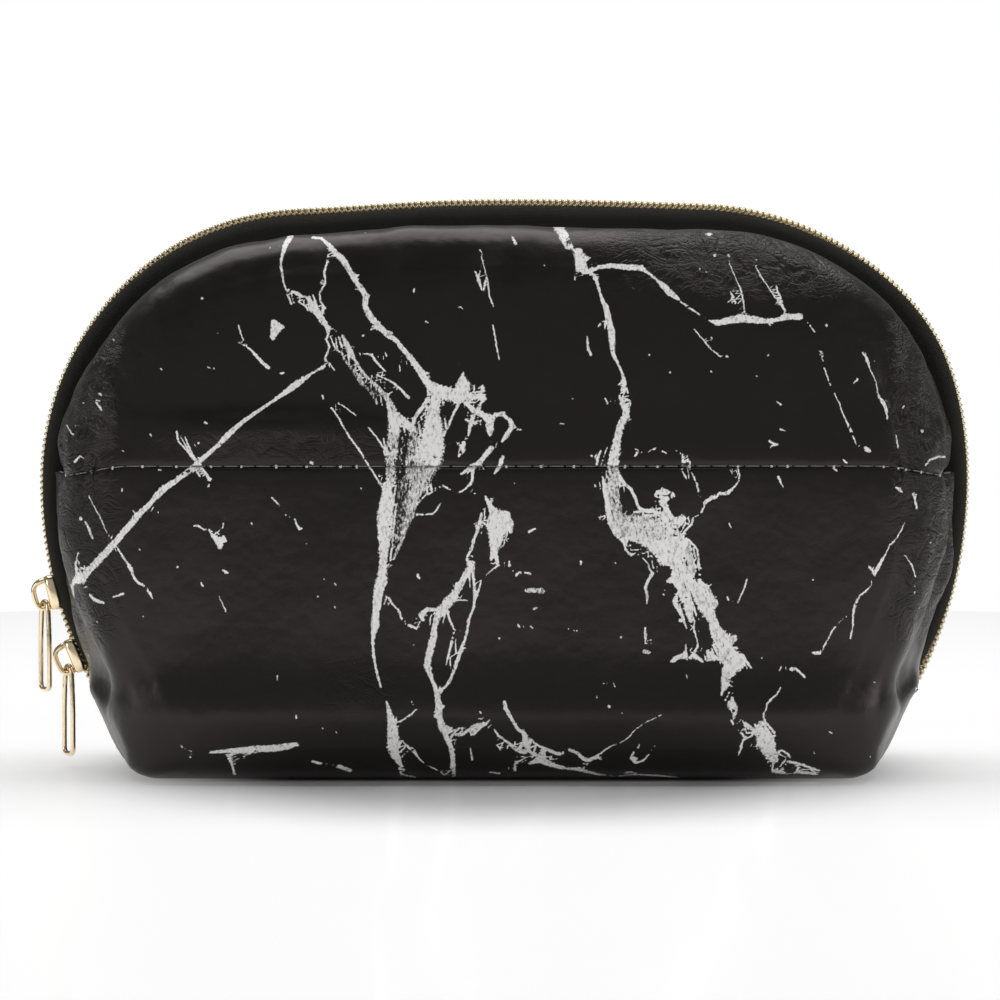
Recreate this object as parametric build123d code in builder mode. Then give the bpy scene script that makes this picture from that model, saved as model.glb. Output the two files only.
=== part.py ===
from build123d import *
import os
from math import atan2, cos, hypot, radians, sin, sqrt

os.makedirs("parts", exist_ok=True)

# Overall shape: a soft half-moon pouch that stands on a flat base, 250 wide, 153 high, 88 deep.
HEIGHT = 153.3            # crown of the zip above the floor
HALF_WIDTH = 125.2        # zip path at its widest
WIDEST_Z = 77.0           # height at which the zip path is widest
SIDE_R = 118.4            # zip path radius below the widest level
SHOULDER_R = 75.0         # zip path radius over the shoulders
SEAM_Z = 82.5             # horizontal seam between the upper panels and the lower panel
SEAM_GAP = 0.4            # free gap left along the seam so that the upper panels can swing
ZIP_END_Z = 19.5          # where the zip stops, just above the boxed corners
BASE_CORNER_R = 9.0       # rounding from the flanks into the base

# Wall section, from the zip's edge round the flank to the flat face:
# depth from the mid-plane, how far inside the zip path, and height above the floor.
TAPE_EDGE = 9.5
WALL_DEPTH = (TAPE_EDGE, 20.0, 32.0, 40.0, 44.0)
WALL_INSET = (6.5, 8.6, 14.0, 21.5, 31.0)
WALL_FLOOR = (0.0, 0.0, 0.3, 3.0, 9.5)
WALL_FLOOR_SHARE = (1.0, 1.0, 1.0, 0.9, 0.0)
BASE_TRIM = 0.05          # outlines start this far below the floor, then the base is cut flat
WALL_LEAN = (0.0, 2.5, 8.0, 12.0, 14.0)    # degrees that each section above the seam leans back
CORNER_INSET = 2.0        # leather of the boxed corners bulges back out to near the zip path

# Sheet thicknesses
LEATHER = 1.6
LINING = 0.6
BOARD = 2.0
BOARD_HALF_X = 84.0
BOARD_HALF_Y = 27.5
BOARD_Z = 2.0             # underside of the board
BOARD_CORNER_R = 12.0

# Zip
COIL_PROFILE = ((0.65, 0.0), (1.6, 0.15), (2.5, 0.8), (3.0, 2.0))   # depth, inset of one coil row
COIL_BASE = 2.2           # inset of the coil's underside
TAPE_DEPTH = (0.9, 3.2, TAPE_EDGE)
TAPE_INSET = (COIL_BASE, COIL_BASE, 7.3)
TAPE = 0.6
COIL_END_Z = 23.2         # coil is cut short of the tape's end, to leave room for the stop
STOP_ANGLE = 28.2         # below the widest level, on the zip path
STOP_LENGTH = 1.8
STOP_HALF_WIDTH = 3.3
STOP_CORNER_R = 0.6
STOP_PROUD = 0.5
STOP_BITE = 0.1           # teeth of the stop pressed into the tape

# Seam thread
STITCH_R = 0.35
STITCH_LENGTH = 3.0
STITCH_PITCH = 4.2
STITCH_HALF_RUN = 86.1
STITCH_DROP = 1.6         # thread row below the seam

# Zip sliders: angle of each below the widest level of the left-hand zip run
UPPER_SLIDER_ANGLE = 14.48
LOWER_SLIDER_ANGLE = 23.2
SLIDER_LENGTH = 9.5
SLIDER_HALF_WIDTH = 4.1
SLIDER_TAIL_HALF = 2.4
SLIDER_WAIST = 2.4        # the plate is widest up to this far either side of its middle
SLIDER_EDGE_R = 0.5
SLIDER_TOP_UNDER = 0.4    # underside of the outer plate above the coil
SLIDER_TOP_OVER = 1.8
SLIDER_SIDE_IN = 3.4      # inner face of each side flange
SLIDER_SIDE_DOWN = 1.4
SLIDER_BOTTOM_OVER = 3.25
SLIDER_BOTTOM_UNDER = 4.25
SLIDER_BOTTOM_HALF_WIDTH = 2.7
SLIDER_BOTTOM_CORNER_R = 1.5
BRIDGE_HALF_WIDTH = 0.35
BRIDGE_LENGTH = 2.2

# Bail: arch on the outer plate that carries the pull
BAIL_HALF_LENGTH = 4.2
BAIL_HEIGHT = 4.2
BAIL_BAR = 1.0
BAIL_HALF_WIDTH = 1.1
BAIL_CORNER_R = 2.0

# Pull: one long closed loop of round wire with a narrower neck at its top
PULL_BAR_R = 0.8
PULL_HALF_NECK = 2.3
PULL_HALF_WIDTH = 2.7
PULL_NECK = 5.0
PULL_LENGTH = 22.4        # pivot bar to the bottom bar, between wire centres
PULL_CORNER_R = 1.2
PIVOT_ALONG = -2.2        # pull's pivot bar, along the zip from the slider's middle
PIVOT_OUT = 3.4           # and out from the coil's top

FAR = 400.0

SIDE_X = HALF_WIDTH - SIDE_R
SHOULDER_X = HALF_WIDTH - SHOULDER_R
RISE = HEIGHT - WIDEST_Z
TOP_R = (SHOULDER_X**2 + RISE**2 - SHOULDER_R**2) / (2 * (RISE - SHOULDER_R))
TOP_Z = HEIGHT - TOP_R
SEAM_FROM_WIDEST = SEAM_Z - WIDEST_Z


def point_on(centre_x, centre_z, radius, angle):
    return (centre_x + radius * cos(angle), centre_z + radius * sin(angle))


def arc_between(centre_x, centre_z, radius, start, end):
    """Arc from one angle to another, in radians, about a centre."""
    middle = (start + end) / 2
    return ThreePointArc(
        point_on(centre_x, centre_z, radius, start),
        point_on(centre_x, centre_z, radius, middle),
        point_on(centre_x, centre_z, radius, end),
    )


def lower_outline(plane, inset, floor):
    """The pouch's outline below the seam on a plane, drawn inside the zip path by inset."""
    side = SIDE_R - inset
    shoulder = SHOULDER_R - inset
    corner_z = floor + BASE_CORNER_R
    corner_x = SIDE_X + sqrt((side - BASE_CORNER_R) ** 2 - (WIDEST_Z - corner_z) ** 2)
    meet = atan2(corner_z - WIDEST_Z, corner_x - SIDE_X)
    seam = atan2(SEAM_FROM_WIDEST, sqrt(shoulder**2 - SEAM_FROM_WIDEST**2))
    half_turn = radians(180)
    quarter = radians(90)
    with BuildSketch(plane) as outline:
        with BuildLine():
            Line((-corner_x, floor), (corner_x, floor))
            arc_between(corner_x, corner_z, BASE_CORNER_R, -quarter, meet)
            arc_between(SIDE_X, WIDEST_Z, side, meet, 0)
            arc_between(SHOULDER_X, WIDEST_Z, shoulder, 0, seam)
            Line(
                point_on(SHOULDER_X, WIDEST_Z, shoulder, seam),
                point_on(-SHOULDER_X, WIDEST_Z, shoulder, half_turn - seam),
            )
            arc_between(-SHOULDER_X, WIDEST_Z, shoulder, half_turn - seam, half_turn)
            arc_between(-SIDE_X, WIDEST_Z, side, half_turn, half_turn - meet)
            arc_between(-corner_x, corner_z, BASE_CORNER_R, half_turn - meet, half_turn + quarter)
        make_face()
    return outline.sketch


def upper_outline(plane, inset):
    """The pouch's outline above the seam on a plane whose origin is on the seam."""
    shoulder = SHOULDER_R - inset
    top = TOP_R - inset
    base = WIDEST_Z - SEAM_Z
    seam = atan2(SEAM_FROM_WIDEST, sqrt(shoulder**2 - SEAM_FROM_WIDEST**2))
    meet = atan2(WIDEST_Z - TOP_Z, SHOULDER_X)
    half_turn = radians(180)
    with BuildSketch(plane) as outline:
        with BuildLine():
            Line(
                point_on(-SHOULDER_X, base, shoulder, half_turn - seam),
                point_on(SHOULDER_X, base, shoulder, seam),
            )
            arc_between(SHOULDER_X, base, shoulder, seam, meet)
            arc_between(0, TOP_Z - SEAM_Z, top, meet, half_turn - meet)
            arc_between(-SHOULDER_X, base, shoulder, half_turn - meet, half_turn - seam)
        make_face()
    return outline.sketch


def leaning_plane(depth, lean):
    """Plane facing front at this depth that tips back about its line on the seam."""
    tip = radians(lean)
    return Plane(
        origin=(0, -depth, SEAM_Z), x_dir=(1, 0, 0), z_dir=(0, -cos(tip), sin(tip))
    )


def wall_sections(under):
    """Depth and inset of each wall section, moved inwards by the distance under."""
    last = len(WALL_DEPTH) - 1
    sections = []
    for k in range(last + 1):
        before = max(k - 1, 0)
        after = min(k + 1, last)
        run = WALL_DEPTH[after] - WALL_DEPTH[before]
        fall = WALL_INSET[after] - WALL_INSET[before]
        size = hypot(run, fall)
        back = 0.0 if k == 0 else fall / size
        side = 1.0 if k == 0 else run / size
        if k == last:
            back = 1.0
            side = 0.0
        depth = WALL_DEPTH[k] - under * back
        inset = WALL_INSET[k] + under * side
        floor = WALL_FLOOR[k] + under * WALL_FLOOR_SHARE[k] - BASE_TRIM
        sections.append((depth, inset, floor))
    return sections


def lofted(outlines, straight=False):
    """Solid through a row of outlines."""
    with BuildPart() as solid:
        loft(sections=outlines, ruled=straight)
    return solid.part


def lower_half(under):
    """Solid front half of the pouch below the seam, moved inwards by the distance under."""
    outlines = []
    for depth, inset, floor in wall_sections(under):
        outlines.append(lower_outline(Plane.XZ.offset(depth), inset, floor))
    return lofted(outlines)


def upper_half(under):
    """Solid front half of the pouch above the seam, moved inwards by the distance under."""
    outlines = []
    for (depth, inset, floor), lean in zip(wall_sections(under), WALL_LEAN):
        outlines.append(upper_outline(leaning_plane(depth, lean), inset))
    return lofted(outlines)


def middle_band(under):
    """Solid band across the mid-plane that joins the two lower halves."""
    edge = WALL_INSET[0] + under
    outlines = []
    for depth, inset in ((-TAPE_EDGE, edge), (0, CORNER_INSET + under), (TAPE_EDGE, edge)):
        outlines.append(lower_outline(Plane.XZ.offset(depth), inset, under - BASE_TRIM))
    return lofted(outlines)


def arch(depths, insets, upper):
    """Solid front half inside a row of outlines that follow the zip path."""
    outlines = []
    for depth, inset in zip(depths, insets):
        if upper:
            outlines.append(upper_outline(leaning_plane(depth, 0), inset))
        else:
            outlines.append(lower_outline(Plane.XZ.offset(depth), inset, inset))
    return lofted(outlines, straight=True)


def slab(low, high):
    """Block over the whole width and depth between two heights, used to trim."""
    with BuildPart(Plane.XY.offset((low + high) / 2)) as block:
        Box(FAR, FAR, high - low)
    return block.part


def behind(part):
    """The back half that matches a front half."""
    return mirror(part, about=Plane.XZ)


# Trimming blocks
seam_and_above = slab(SEAM_Z - SEAM_GAP / 2, FAR)
seam_and_below = slab(-FAR, SEAM_Z + SEAM_GAP / 2)
zip_end_and_above = slab(ZIP_END_Z, FAR)
zip_end_and_below = slab(-FAR, ZIP_END_Z)
coil_end_and_below = slab(-FAR, COIL_END_Z)
below_floor = slab(-FAR, 0)

# Front shells, from the outside in
front_lower = lower_half(0)
front_lower_inside = lower_half(LEATHER)
front_lower_room = lower_half(LEATHER + LINING)
front_upper = upper_half(0)
front_upper_inside = upper_half(LEATHER)
front_upper_room = upper_half(LEATHER + LINING)
band = middle_band(0)
band_inside = middle_band(LEATHER)
band_room = middle_band(LEATHER + LINING)

# Lower panel: one sheet of leather, front and back walls, base and boxed corners
front_lower_leather = front_lower - front_lower_inside - seam_and_above
with BuildPart() as lower_panel:
    add(front_lower_leather)
    add(band - band_inside - zip_end_and_above)
    add(behind(front_lower_leather))
    add(below_floor, mode=Mode.SUBTRACT)

# Base board, and the lining that covers it
with BuildPart() as base_board:
    with BuildSketch(Plane.XY.offset(BOARD_Z)):
        RectangleRounded(2 * BOARD_HALF_X, 2 * BOARD_HALF_Y, BOARD_CORNER_R)
    extrude(amount=BOARD)

with BuildPart() as board_cover:
    with BuildSketch():
        RectangleRounded(
            2 * (BOARD_HALF_X + LINING), 2 * (BOARD_HALF_Y + LINING), BOARD_CORNER_R + LINING
        )
    extrude(amount=BOARD_Z + BOARD + LINING)
front_cover = board_cover.part & front_lower_inside
middle_cover = board_cover.part & band_inside

front_lower_fabric = front_lower_inside - front_lower_room - seam_and_above
with BuildPart() as lower_lining:
    add(front_lower_fabric)
    add(band_inside - band_room - zip_end_and_above)
    add(behind(front_lower_fabric))
    add(front_cover)
    add(middle_cover)
    add(behind(front_cover))
    add(base_board.part, mode=Mode.SUBTRACT)

# Upper panels and their linings
with BuildPart() as upper_front_panel:
    add(front_upper - front_upper_inside - seam_and_below)
with BuildPart() as upper_back_panel:
    add(behind(upper_front_panel.part))
with BuildPart() as upper_front_lining:
    add(front_upper_inside - front_upper_room - seam_and_below)
with BuildPart() as upper_back_lining:
    add(behind(upper_front_lining.part))

# Zip tape: flat under the coil, then sloping down to the leather's edge
tape_under = [inset + TAPE for inset in TAPE_INSET]
lower_tape = arch(TAPE_DEPTH, TAPE_INSET, False) - arch(TAPE_DEPTH, tape_under, False)
with BuildPart() as front_zip_tape_lower:
    add(lower_tape - seam_and_above - zip_end_and_below)
with BuildPart() as back_zip_tape_lower:
    add(behind(front_zip_tape_lower.part))
with BuildPart() as front_zip_tape_upper:
    add(arch(TAPE_DEPTH, TAPE_INSET, True) - arch(TAPE_DEPTH, tape_under, True) - seam_and_below)
with BuildPart() as back_zip_tape_upper:
    add(behind(front_zip_tape_upper.part))

# Zip coil: one rounded row on each side of the mid-plane
coil_depth = [depth for depth, inset in COIL_PROFILE]
coil_inset = [inset for depth, inset in COIL_PROFILE]
coil_ends = (coil_depth[0], coil_depth[-1])
coil_base = (COIL_BASE, COIL_BASE)
lower_coil = arch(coil_depth, coil_inset, False) - arch(coil_ends, coil_base, False)
with BuildPart() as front_zip_coil_lower:
    add(lower_coil - seam_and_above - coil_end_and_below)
with BuildPart() as back_zip_coil_lower:
    add(behind(front_zip_coil_lower.part))
with BuildPart() as front_zip_coil_upper:
    add(arch(coil_depth, coil_inset, True) - arch(coil_ends, coil_base, True) - seam_and_below)
with BuildPart() as back_zip_coil_upper:
    add(behind(front_zip_coil_upper.part))


def zip_frame(angle):
    """Plane on the left-hand zip run: X up along the zip, Z out from the coil's top."""
    turn = radians(angle)
    return Plane(
        origin=(-SIDE_X - SIDE_R * cos(turn), 0, WIDEST_Z - SIDE_R * sin(turn)),
        x_dir=(-sin(turn), 0, cos(turn)),
        z_dir=(-cos(turn), 0, -sin(turn)),
    )


def zip_side_frame(angle):
    """The same place seen from the front: X up along the zip, Y out from the coil's top."""
    turn = radians(angle)
    return Plane(zip_frame(angle).origin, x_dir=(-sin(turn), 0, cos(turn)), z_dir=(0, -1, 0))


# End stops: a small block clamped across both tapes at each end of the zip
with BuildPart() as zip_end_stops:
    with BuildSketch(zip_frame(STOP_ANGLE).offset(-COIL_BASE - STOP_BITE)):
        RectangleRounded(STOP_LENGTH, 2 * STOP_HALF_WIDTH, STOP_CORNER_R)
    extrude(amount=COIL_BASE + STOP_BITE + STOP_PROUD)
    mirror(about=Plane.YZ)

# Seam thread: a straight row of short stitches just below each seam
with BuildPart() as front_seam_thread:
    stitch_count = int(2 * STITCH_HALF_RUN / STITCH_PITCH) + 1
    with Locations(Pos(0, -WALL_DEPTH[-1], SEAM_Z - STITCH_DROP)):
        with GridLocations(STITCH_PITCH, 0, stitch_count, 1):
            Cylinder(STITCH_R, STITCH_LENGTH, rotation=(0, 90, 0))
with BuildPart() as back_seam_thread:
    add(behind(front_seam_thread.part))


def slider_body(angle):
    """Zip slider: outer plate with side flanges, bridge between the coil rows, inner plate."""
    frame = zip_frame(angle)
    head = SLIDER_LENGTH / 2
    with BuildPart() as slider:
        with BuildSketch(frame.offset(SLIDER_TOP_UNDER)):
            Polygon(
                (-head, -SLIDER_TAIL_HALF),
                (-head, SLIDER_TAIL_HALF),
                (-SLIDER_WAIST, SLIDER_HALF_WIDTH),
                (SLIDER_WAIST, SLIDER_HALF_WIDTH),
                (head, SLIDER_TAIL_HALF),
                (head, -SLIDER_TAIL_HALF),
                (SLIDER_WAIST, -SLIDER_HALF_WIDTH),
                (-SLIDER_WAIST, -SLIDER_HALF_WIDTH),
                align=None,
            )
        extrude(amount=SLIDER_TOP_OVER - SLIDER_TOP_UNDER)
        rim = slider.faces().sort_by(Axis(frame.origin, frame.z_dir))[-1].edges()
        fillet(rim, SLIDER_EDGE_R)
        flange = SLIDER_HALF_WIDTH - SLIDER_SIDE_IN
        middle = (SLIDER_HALF_WIDTH + SLIDER_SIDE_IN) / 2
        with BuildSketch(frame.offset(-SLIDER_SIDE_DOWN)):
            with Locations((0, middle), (0, -middle)):
                Rectangle(2 * SLIDER_WAIST, flange)
        extrude(amount=SLIDER_SIDE_DOWN + SLIDER_TOP_UNDER)
        with BuildSketch(frame.offset(-SLIDER_BOTTOM_OVER)):
            Rectangle(BRIDGE_LENGTH, 2 * BRIDGE_HALF_WIDTH)
        extrude(amount=SLIDER_BOTTOM_OVER + SLIDER_TOP_UNDER)
        with BuildSketch(frame.offset(-SLIDER_BOTTOM_UNDER)):
            RectangleRounded(SLIDER_LENGTH, 2 * SLIDER_BOTTOM_HALF_WIDTH, SLIDER_BOTTOM_CORNER_R)
        extrude(amount=SLIDER_BOTTOM_UNDER - SLIDER_BOTTOM_OVER)
    return slider.part


def slider_bail(angle):
    """Arch on a slider's outer plate that carries the pull."""
    low = SLIDER_TOP_OVER
    high = low + BAIL_HEIGHT
    with BuildPart() as bail:
        with BuildSketch(zip_side_frame(angle)):
            with Locations((0, (low + high) / 2)):
                Rectangle(2 * BAIL_HALF_LENGTH, BAIL_HEIGHT)
                Rectangle(
                    2 * (BAIL_HALF_LENGTH - BAIL_BAR), BAIL_HEIGHT, mode=Mode.SUBTRACT
                )
            with Locations((0, high - BAIL_BAR / 2)):
                Rectangle(2 * BAIL_HALF_LENGTH, BAIL_BAR)
        extrude(amount=BAIL_HALF_WIDTH, both=True)
        out = Axis(zip_frame(angle).origin, zip_frame(angle).z_dir)
        across = bail.edges().filter_by(Axis.Y)
        fillet(across.sort_by(out)[-2:], BAIL_CORNER_R)
    return bail.part


def hanging_pull(angle):
    """Closed loop of round wire that hangs straight down from its bar inside the bail."""
    pivot = zip_side_frame(angle).from_local_coords((PIVOT_ALONG, PIVOT_OUT, 0))
    face_on = Plane(origin=pivot, x_dir=(0, 1, 0), z_dir=(1, 0, 0))
    with BuildPart() as pull:
        with BuildLine(face_on) as wire:
            FilletPolyline(
                (-PULL_HALF_NECK, 0),
                (PULL_HALF_NECK, 0),
                (PULL_HALF_NECK, -PULL_NECK),
                (PULL_HALF_WIDTH, -2 * PULL_NECK),
                (PULL_HALF_WIDTH, -PULL_LENGTH),
                (-PULL_HALF_WIDTH, -PULL_LENGTH),
                (-PULL_HALF_WIDTH, -2 * PULL_NECK),
                (-PULL_HALF_NECK, -PULL_NECK),
                radius=PULL_CORNER_R,
                close=True,
            )
        loop = wire.wires()[0]
        with BuildSketch(Plane(origin=loop @ 0, z_dir=loop % 0)):
            Circle(PULL_BAR_R)
        sweep(path=loop)
    return pull.part


with BuildPart() as upper_slider_body:
    add(slider_body(UPPER_SLIDER_ANGLE))
with BuildPart() as upper_slider_bail:
    add(slider_bail(UPPER_SLIDER_ANGLE))
with BuildPart() as upper_pull:
    add(hanging_pull(UPPER_SLIDER_ANGLE))
with BuildPart() as lower_slider_body:
    add(slider_body(LOWER_SLIDER_ANGLE))
with BuildPart() as lower_slider_bail:
    add(slider_bail(LOWER_SLIDER_ANGLE))
with BuildPart() as lower_pull:
    add(hanging_pull(LOWER_SLIDER_ANGLE))

pieces = {
    "lower_panel": lower_panel,
    "lower_lining": lower_lining,
    "base_board": base_board,
    "upper_front_panel": upper_front_panel,
    "upper_front_lining": upper_front_lining,
    "upper_back_panel": upper_back_panel,
    "upper_back_lining": upper_back_lining,
    "front_zip_tape_lower": front_zip_tape_lower,
    "back_zip_tape_lower": back_zip_tape_lower,
    "front_zip_tape_upper": front_zip_tape_upper,
    "back_zip_tape_upper": back_zip_tape_upper,
    "front_zip_coil_lower": front_zip_coil_lower,
    "back_zip_coil_lower": back_zip_coil_lower,
    "front_zip_coil_upper": front_zip_coil_upper,
    "back_zip_coil_upper": back_zip_coil_upper,
    "zip_end_stops": zip_end_stops,
    "front_seam_thread": front_seam_thread,
    "back_seam_thread": back_seam_thread,
    "upper_slider_body": upper_slider_body,
    "upper_slider_bail": upper_slider_bail,
    "upper_pull": upper_pull,
    "lower_slider_body": lower_slider_body,
    "lower_slider_bail": lower_slider_bail,
    "lower_pull": lower_pull,
}
for name, piece in pieces.items():
    piece.part.label = name
    export_step(piece.part, "parts/" + name + ".step")
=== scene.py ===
import math
import random

import bmesh
import bpy
import numpy as np
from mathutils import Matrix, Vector, noise


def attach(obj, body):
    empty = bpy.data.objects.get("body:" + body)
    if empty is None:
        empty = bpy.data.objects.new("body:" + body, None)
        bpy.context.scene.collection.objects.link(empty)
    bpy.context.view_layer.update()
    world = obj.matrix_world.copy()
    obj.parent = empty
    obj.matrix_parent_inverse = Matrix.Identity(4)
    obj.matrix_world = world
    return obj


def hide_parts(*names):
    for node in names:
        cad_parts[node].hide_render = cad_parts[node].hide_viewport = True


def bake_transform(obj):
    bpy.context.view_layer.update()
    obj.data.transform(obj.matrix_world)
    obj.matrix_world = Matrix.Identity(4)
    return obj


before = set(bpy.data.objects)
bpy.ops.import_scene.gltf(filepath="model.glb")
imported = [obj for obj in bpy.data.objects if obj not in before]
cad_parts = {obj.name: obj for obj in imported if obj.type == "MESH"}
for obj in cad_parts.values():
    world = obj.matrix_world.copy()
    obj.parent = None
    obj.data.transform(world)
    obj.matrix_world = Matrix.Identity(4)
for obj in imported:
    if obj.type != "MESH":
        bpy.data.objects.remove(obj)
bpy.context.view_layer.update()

# ---------------------------------------------------------------- sizes, in millimetres
MM = 0.001
HEIGHT = 153.3          # crown of the zip above the floor
HALF_WIDTH = 125.2      # zip path at its widest
WIDEST_Z = 77.0
SIDE_R = 118.4
SHOULDER_R = 75.0
SEAM_Z = 82.5
ZIP_END_Z = 19.5
CORNER_R = 9.0
SIDE_X = HALF_WIDTH - SIDE_R
SHOULDER_X = HALF_WIDTH - SHOULDER_R
RISE = HEIGHT - WIDEST_Z
TOP_R = (SHOULDER_X**2 + RISE**2 - SHOULDER_R**2) / (2 * (RISE - SHOULDER_R))
TOP_Z = HEIGHT - TOP_R

# Wall section from the tape's edge to the face: depth, inset, height above the floor, lean
WALL = np.array(
    [
        (9.5, 6.5, 0.0, 0.0),
        (20.0, 8.6, 0.0, 2.0),
        (32.0, 14.0, 0.3, 6.0),
        (40.0, 21.5, 3.0, 8.5),
        (44.0, 31.0, 9.5, 9.5),
    ]
)
WALL_ROWS = 44
FACE_ROWS = 78
LEATHER_THICK = 1.3
LINING_THICK = 0.4
LINING_UNDER = 2.1      # the lining lies this far inside the leather
LINING_FLOOR = 4.3      # and on the base board at this height
TAPE_THICK = 0.5
FACE_SWELL = 1.9        # the soft face stands this far beyond the flat wall
FACE_SWELL_RUN = 8.0
SEAM_VALLEY = 0.9

ROOT = "lower_body"
SIDE_NAME = {-1: "front", 1: "back"}


# ---------------------------------------------------------------- mesh helpers
def new_object(name, verts, faces, material=None, smooth=True):
    """Mesh object from points in millimetres."""
    mesh = bpy.data.meshes.new(name)
    points = (np.asarray(verts, float) * MM).tolist()
    mesh.from_pydata(points, [], [list(map(int, f)) for f in faces])
    mesh.update()
    obj = bpy.data.objects.new(name, mesh)
    bpy.context.scene.collection.objects.link(obj)
    if material:
        mesh.materials.append(material)
    if smooth:
        mesh.polygons.foreach_set("use_smooth", [True] * len(mesh.polygons))
    return obj


def grid_faces(rows, columns, wrap_rows=False, wrap_columns=False, flip=False):
    """Quads over a rows x columns block of points."""
    r = np.arange(rows if wrap_rows else rows - 1)
    c = np.arange(columns if wrap_columns else columns - 1)
    rr, cc = np.meshgrid(r, c, indexing="ij")
    r1 = (rr + 1) % rows
    c1 = (cc + 1) % columns
    here, below = rr * columns, r1 * columns
    quads = np.stack([here + cc, here + c1, below + c1, below + cc], -1).reshape(-1, 4)
    return quads[:, ::-1] if flip else quads


def capped_faces(rows, around, flip=False):
    """Faces of a closed run of sections with both ends capped."""
    faces = [list(f) for f in grid_faces(rows, around, wrap_columns=True, flip=flip)]
    first = list(range(around))
    last = [(rows - 1) * around + k for k in range(around)]
    return faces + ([first, last[::-1]] if flip else [first[::-1], last])


def store(obj, name, values):
    """Keeps one number or one vector per point on the mesh, for its material."""
    values = np.asarray(values, np.float32)
    kind = "FLOAT" if values.ndim == 1 else "FLOAT_VECTOR"
    attribute = obj.data.attributes.new(name, kind, "POINT")
    attribute.data.foreach_set("value" if values.ndim == 1 else "vector", values.ravel())


def apply_modifiers(obj):
    """Bakes the modifier stack into the mesh."""
    bpy.context.view_layer.update()
    depsgraph = bpy.context.evaluated_depsgraph_get()
    mesh = bpy.data.meshes.new_from_object(
        obj.evaluated_get(depsgraph), preserve_all_data_layers=True, depsgraph=depsgraph
    )
    obj.modifiers.clear()
    obj.data = mesh


def thicken(obj, thickness):
    """Gives a sheet its thickness, inwards."""
    solid = obj.modifiers.new("thickness", "SOLIDIFY")
    solid.thickness = thickness * MM
    solid.offset = -1
    apply_modifiers(obj)


def grid_normals(grid):
    """Unit normals of a rows x columns x 3 block of points."""
    down = np.gradient(grid, axis=0)
    along = np.gradient(grid, axis=1)
    n = np.cross(along, down)
    size = np.linalg.norm(n, axis=-1, keepdims=True)
    return n / np.maximum(size, 1e-9)


def waves(points, scale, seed, octaves=3):
    """Smooth pseudo-random field in -1..1 made of sines, for soft uneven shapes."""
    rng = np.random.default_rng(seed)
    total = np.zeros(len(points))
    weight = 0.0
    for k in range(octaves):
        for _ in range(4):
            direction = rng.normal(size=3)
            direction /= np.linalg.norm(direction)
            phase = rng.uniform(0, 2 * math.pi)
            total += np.sin(points @ direction * (2 * math.pi / scale) + phase) / 2**k
        weight += 2.0 / 2**k
        scale /= 2
    return total / weight


def hump(x, centre, width):
    return np.exp(-(((x - centre) / width) ** 2))


def smooth_step(x, low, high):
    t = np.clip((x - low) / (high - low), 0, 1)
    return t * t * (3 - 2 * t)


def hermite(t, a, b, slope_a, slope_b):
    """Smooth curve from a to b."""
    start = (2 * t**3 - 3 * t**2 + 1) * a + (t**3 - 2 * t**2 + t) * slope_a
    return start + (-2 * t**3 + 3 * t**2) * b + (t**3 - t**2) * slope_b


# ---------------------------------------------------------------- shape of the pouch
def arc(centre_x, centre_z, radius, start, end, count):
    """Points on an arc, angles in radians, without the last point."""
    angle = start + (end - start) * np.arange(count) / count
    return np.stack([centre_x + radius * np.cos(angle), centre_z + radius * np.sin(angle)], -1)


SEAM_RISE = SEAM_Z - WIDEST_Z
SHOULDER_TOP = math.atan2(WIDEST_Z - TOP_Z, SHOULDER_X)


def upper_curve(inset):
    """Outline above the seam, from the left end of the seam over the crown to the right end."""
    r = SHOULDER_R - inset
    seam = math.asin(SEAM_RISE / r)
    left = arc(-SHOULDER_X, WIDEST_Z, r, math.pi - seam, math.pi - SHOULDER_TOP, 92)
    top = arc(0, TOP_Z, TOP_R - inset, math.pi - SHOULDER_TOP, SHOULDER_TOP, 92)
    right = arc(SHOULDER_X, WIDEST_Z, r, SHOULDER_TOP, seam, 92)
    end = [(SHOULDER_X + r * math.cos(seam), SEAM_Z)]
    return np.concatenate([left, top, right, end])


def lower_curve(inset, floor):
    """Outline below the seam, from its left end down, along the base and up to its right end."""
    r = SHOULDER_R - inset
    side = SIDE_R - inset
    seam = math.asin(SEAM_RISE / r)
    corner_z = floor + CORNER_R
    corner_x = SIDE_X + math.sqrt((side - CORNER_R) ** 2 - (WIDEST_Z - corner_z) ** 2)
    meet = math.atan2(corner_z - WIDEST_Z, corner_x - SIDE_X)
    pi = math.pi
    parts = [
        arc(-SHOULDER_X, WIDEST_Z, r, pi - seam, pi, 6),
        arc(-SIDE_X, WIDEST_Z, side, pi, pi - meet, 62),
        arc(-corner_x, corner_z, CORNER_R, pi - meet, pi + pi / 2, 14),
        np.stack([np.linspace(-corner_x, corner_x, 124, endpoint=False), np.full(124, floor)], -1),
        arc(corner_x, corner_z, CORNER_R, -pi / 2, meet, 14),
        arc(SIDE_X, WIDEST_Z, side, meet, 0, 62),
        arc(SHOULDER_X, WIDEST_Z, r, 0, seam, 6),
        [(SHOULDER_X + r * math.cos(seam), SEAM_Z)],
    ]
    return np.concatenate(parts)


def wall_at(w):
    """Depth, inset, floor and lean at a place w from 0 to 4 on the wall section."""
    k = min(int(w), len(WALL) - 2)
    t = w - k
    a, b = WALL[k], WALL[k + 1]
    before = WALL[max(k - 1, 0)]
    after = WALL[min(k + 2, len(WALL) - 1)]
    ma = (b - before) / (2 if k > 0 else 1)
    mb = (after - a) / (2 if k < len(WALL) - 2 else 1)
    return hermite(t, a, b, ma, mb)


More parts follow.
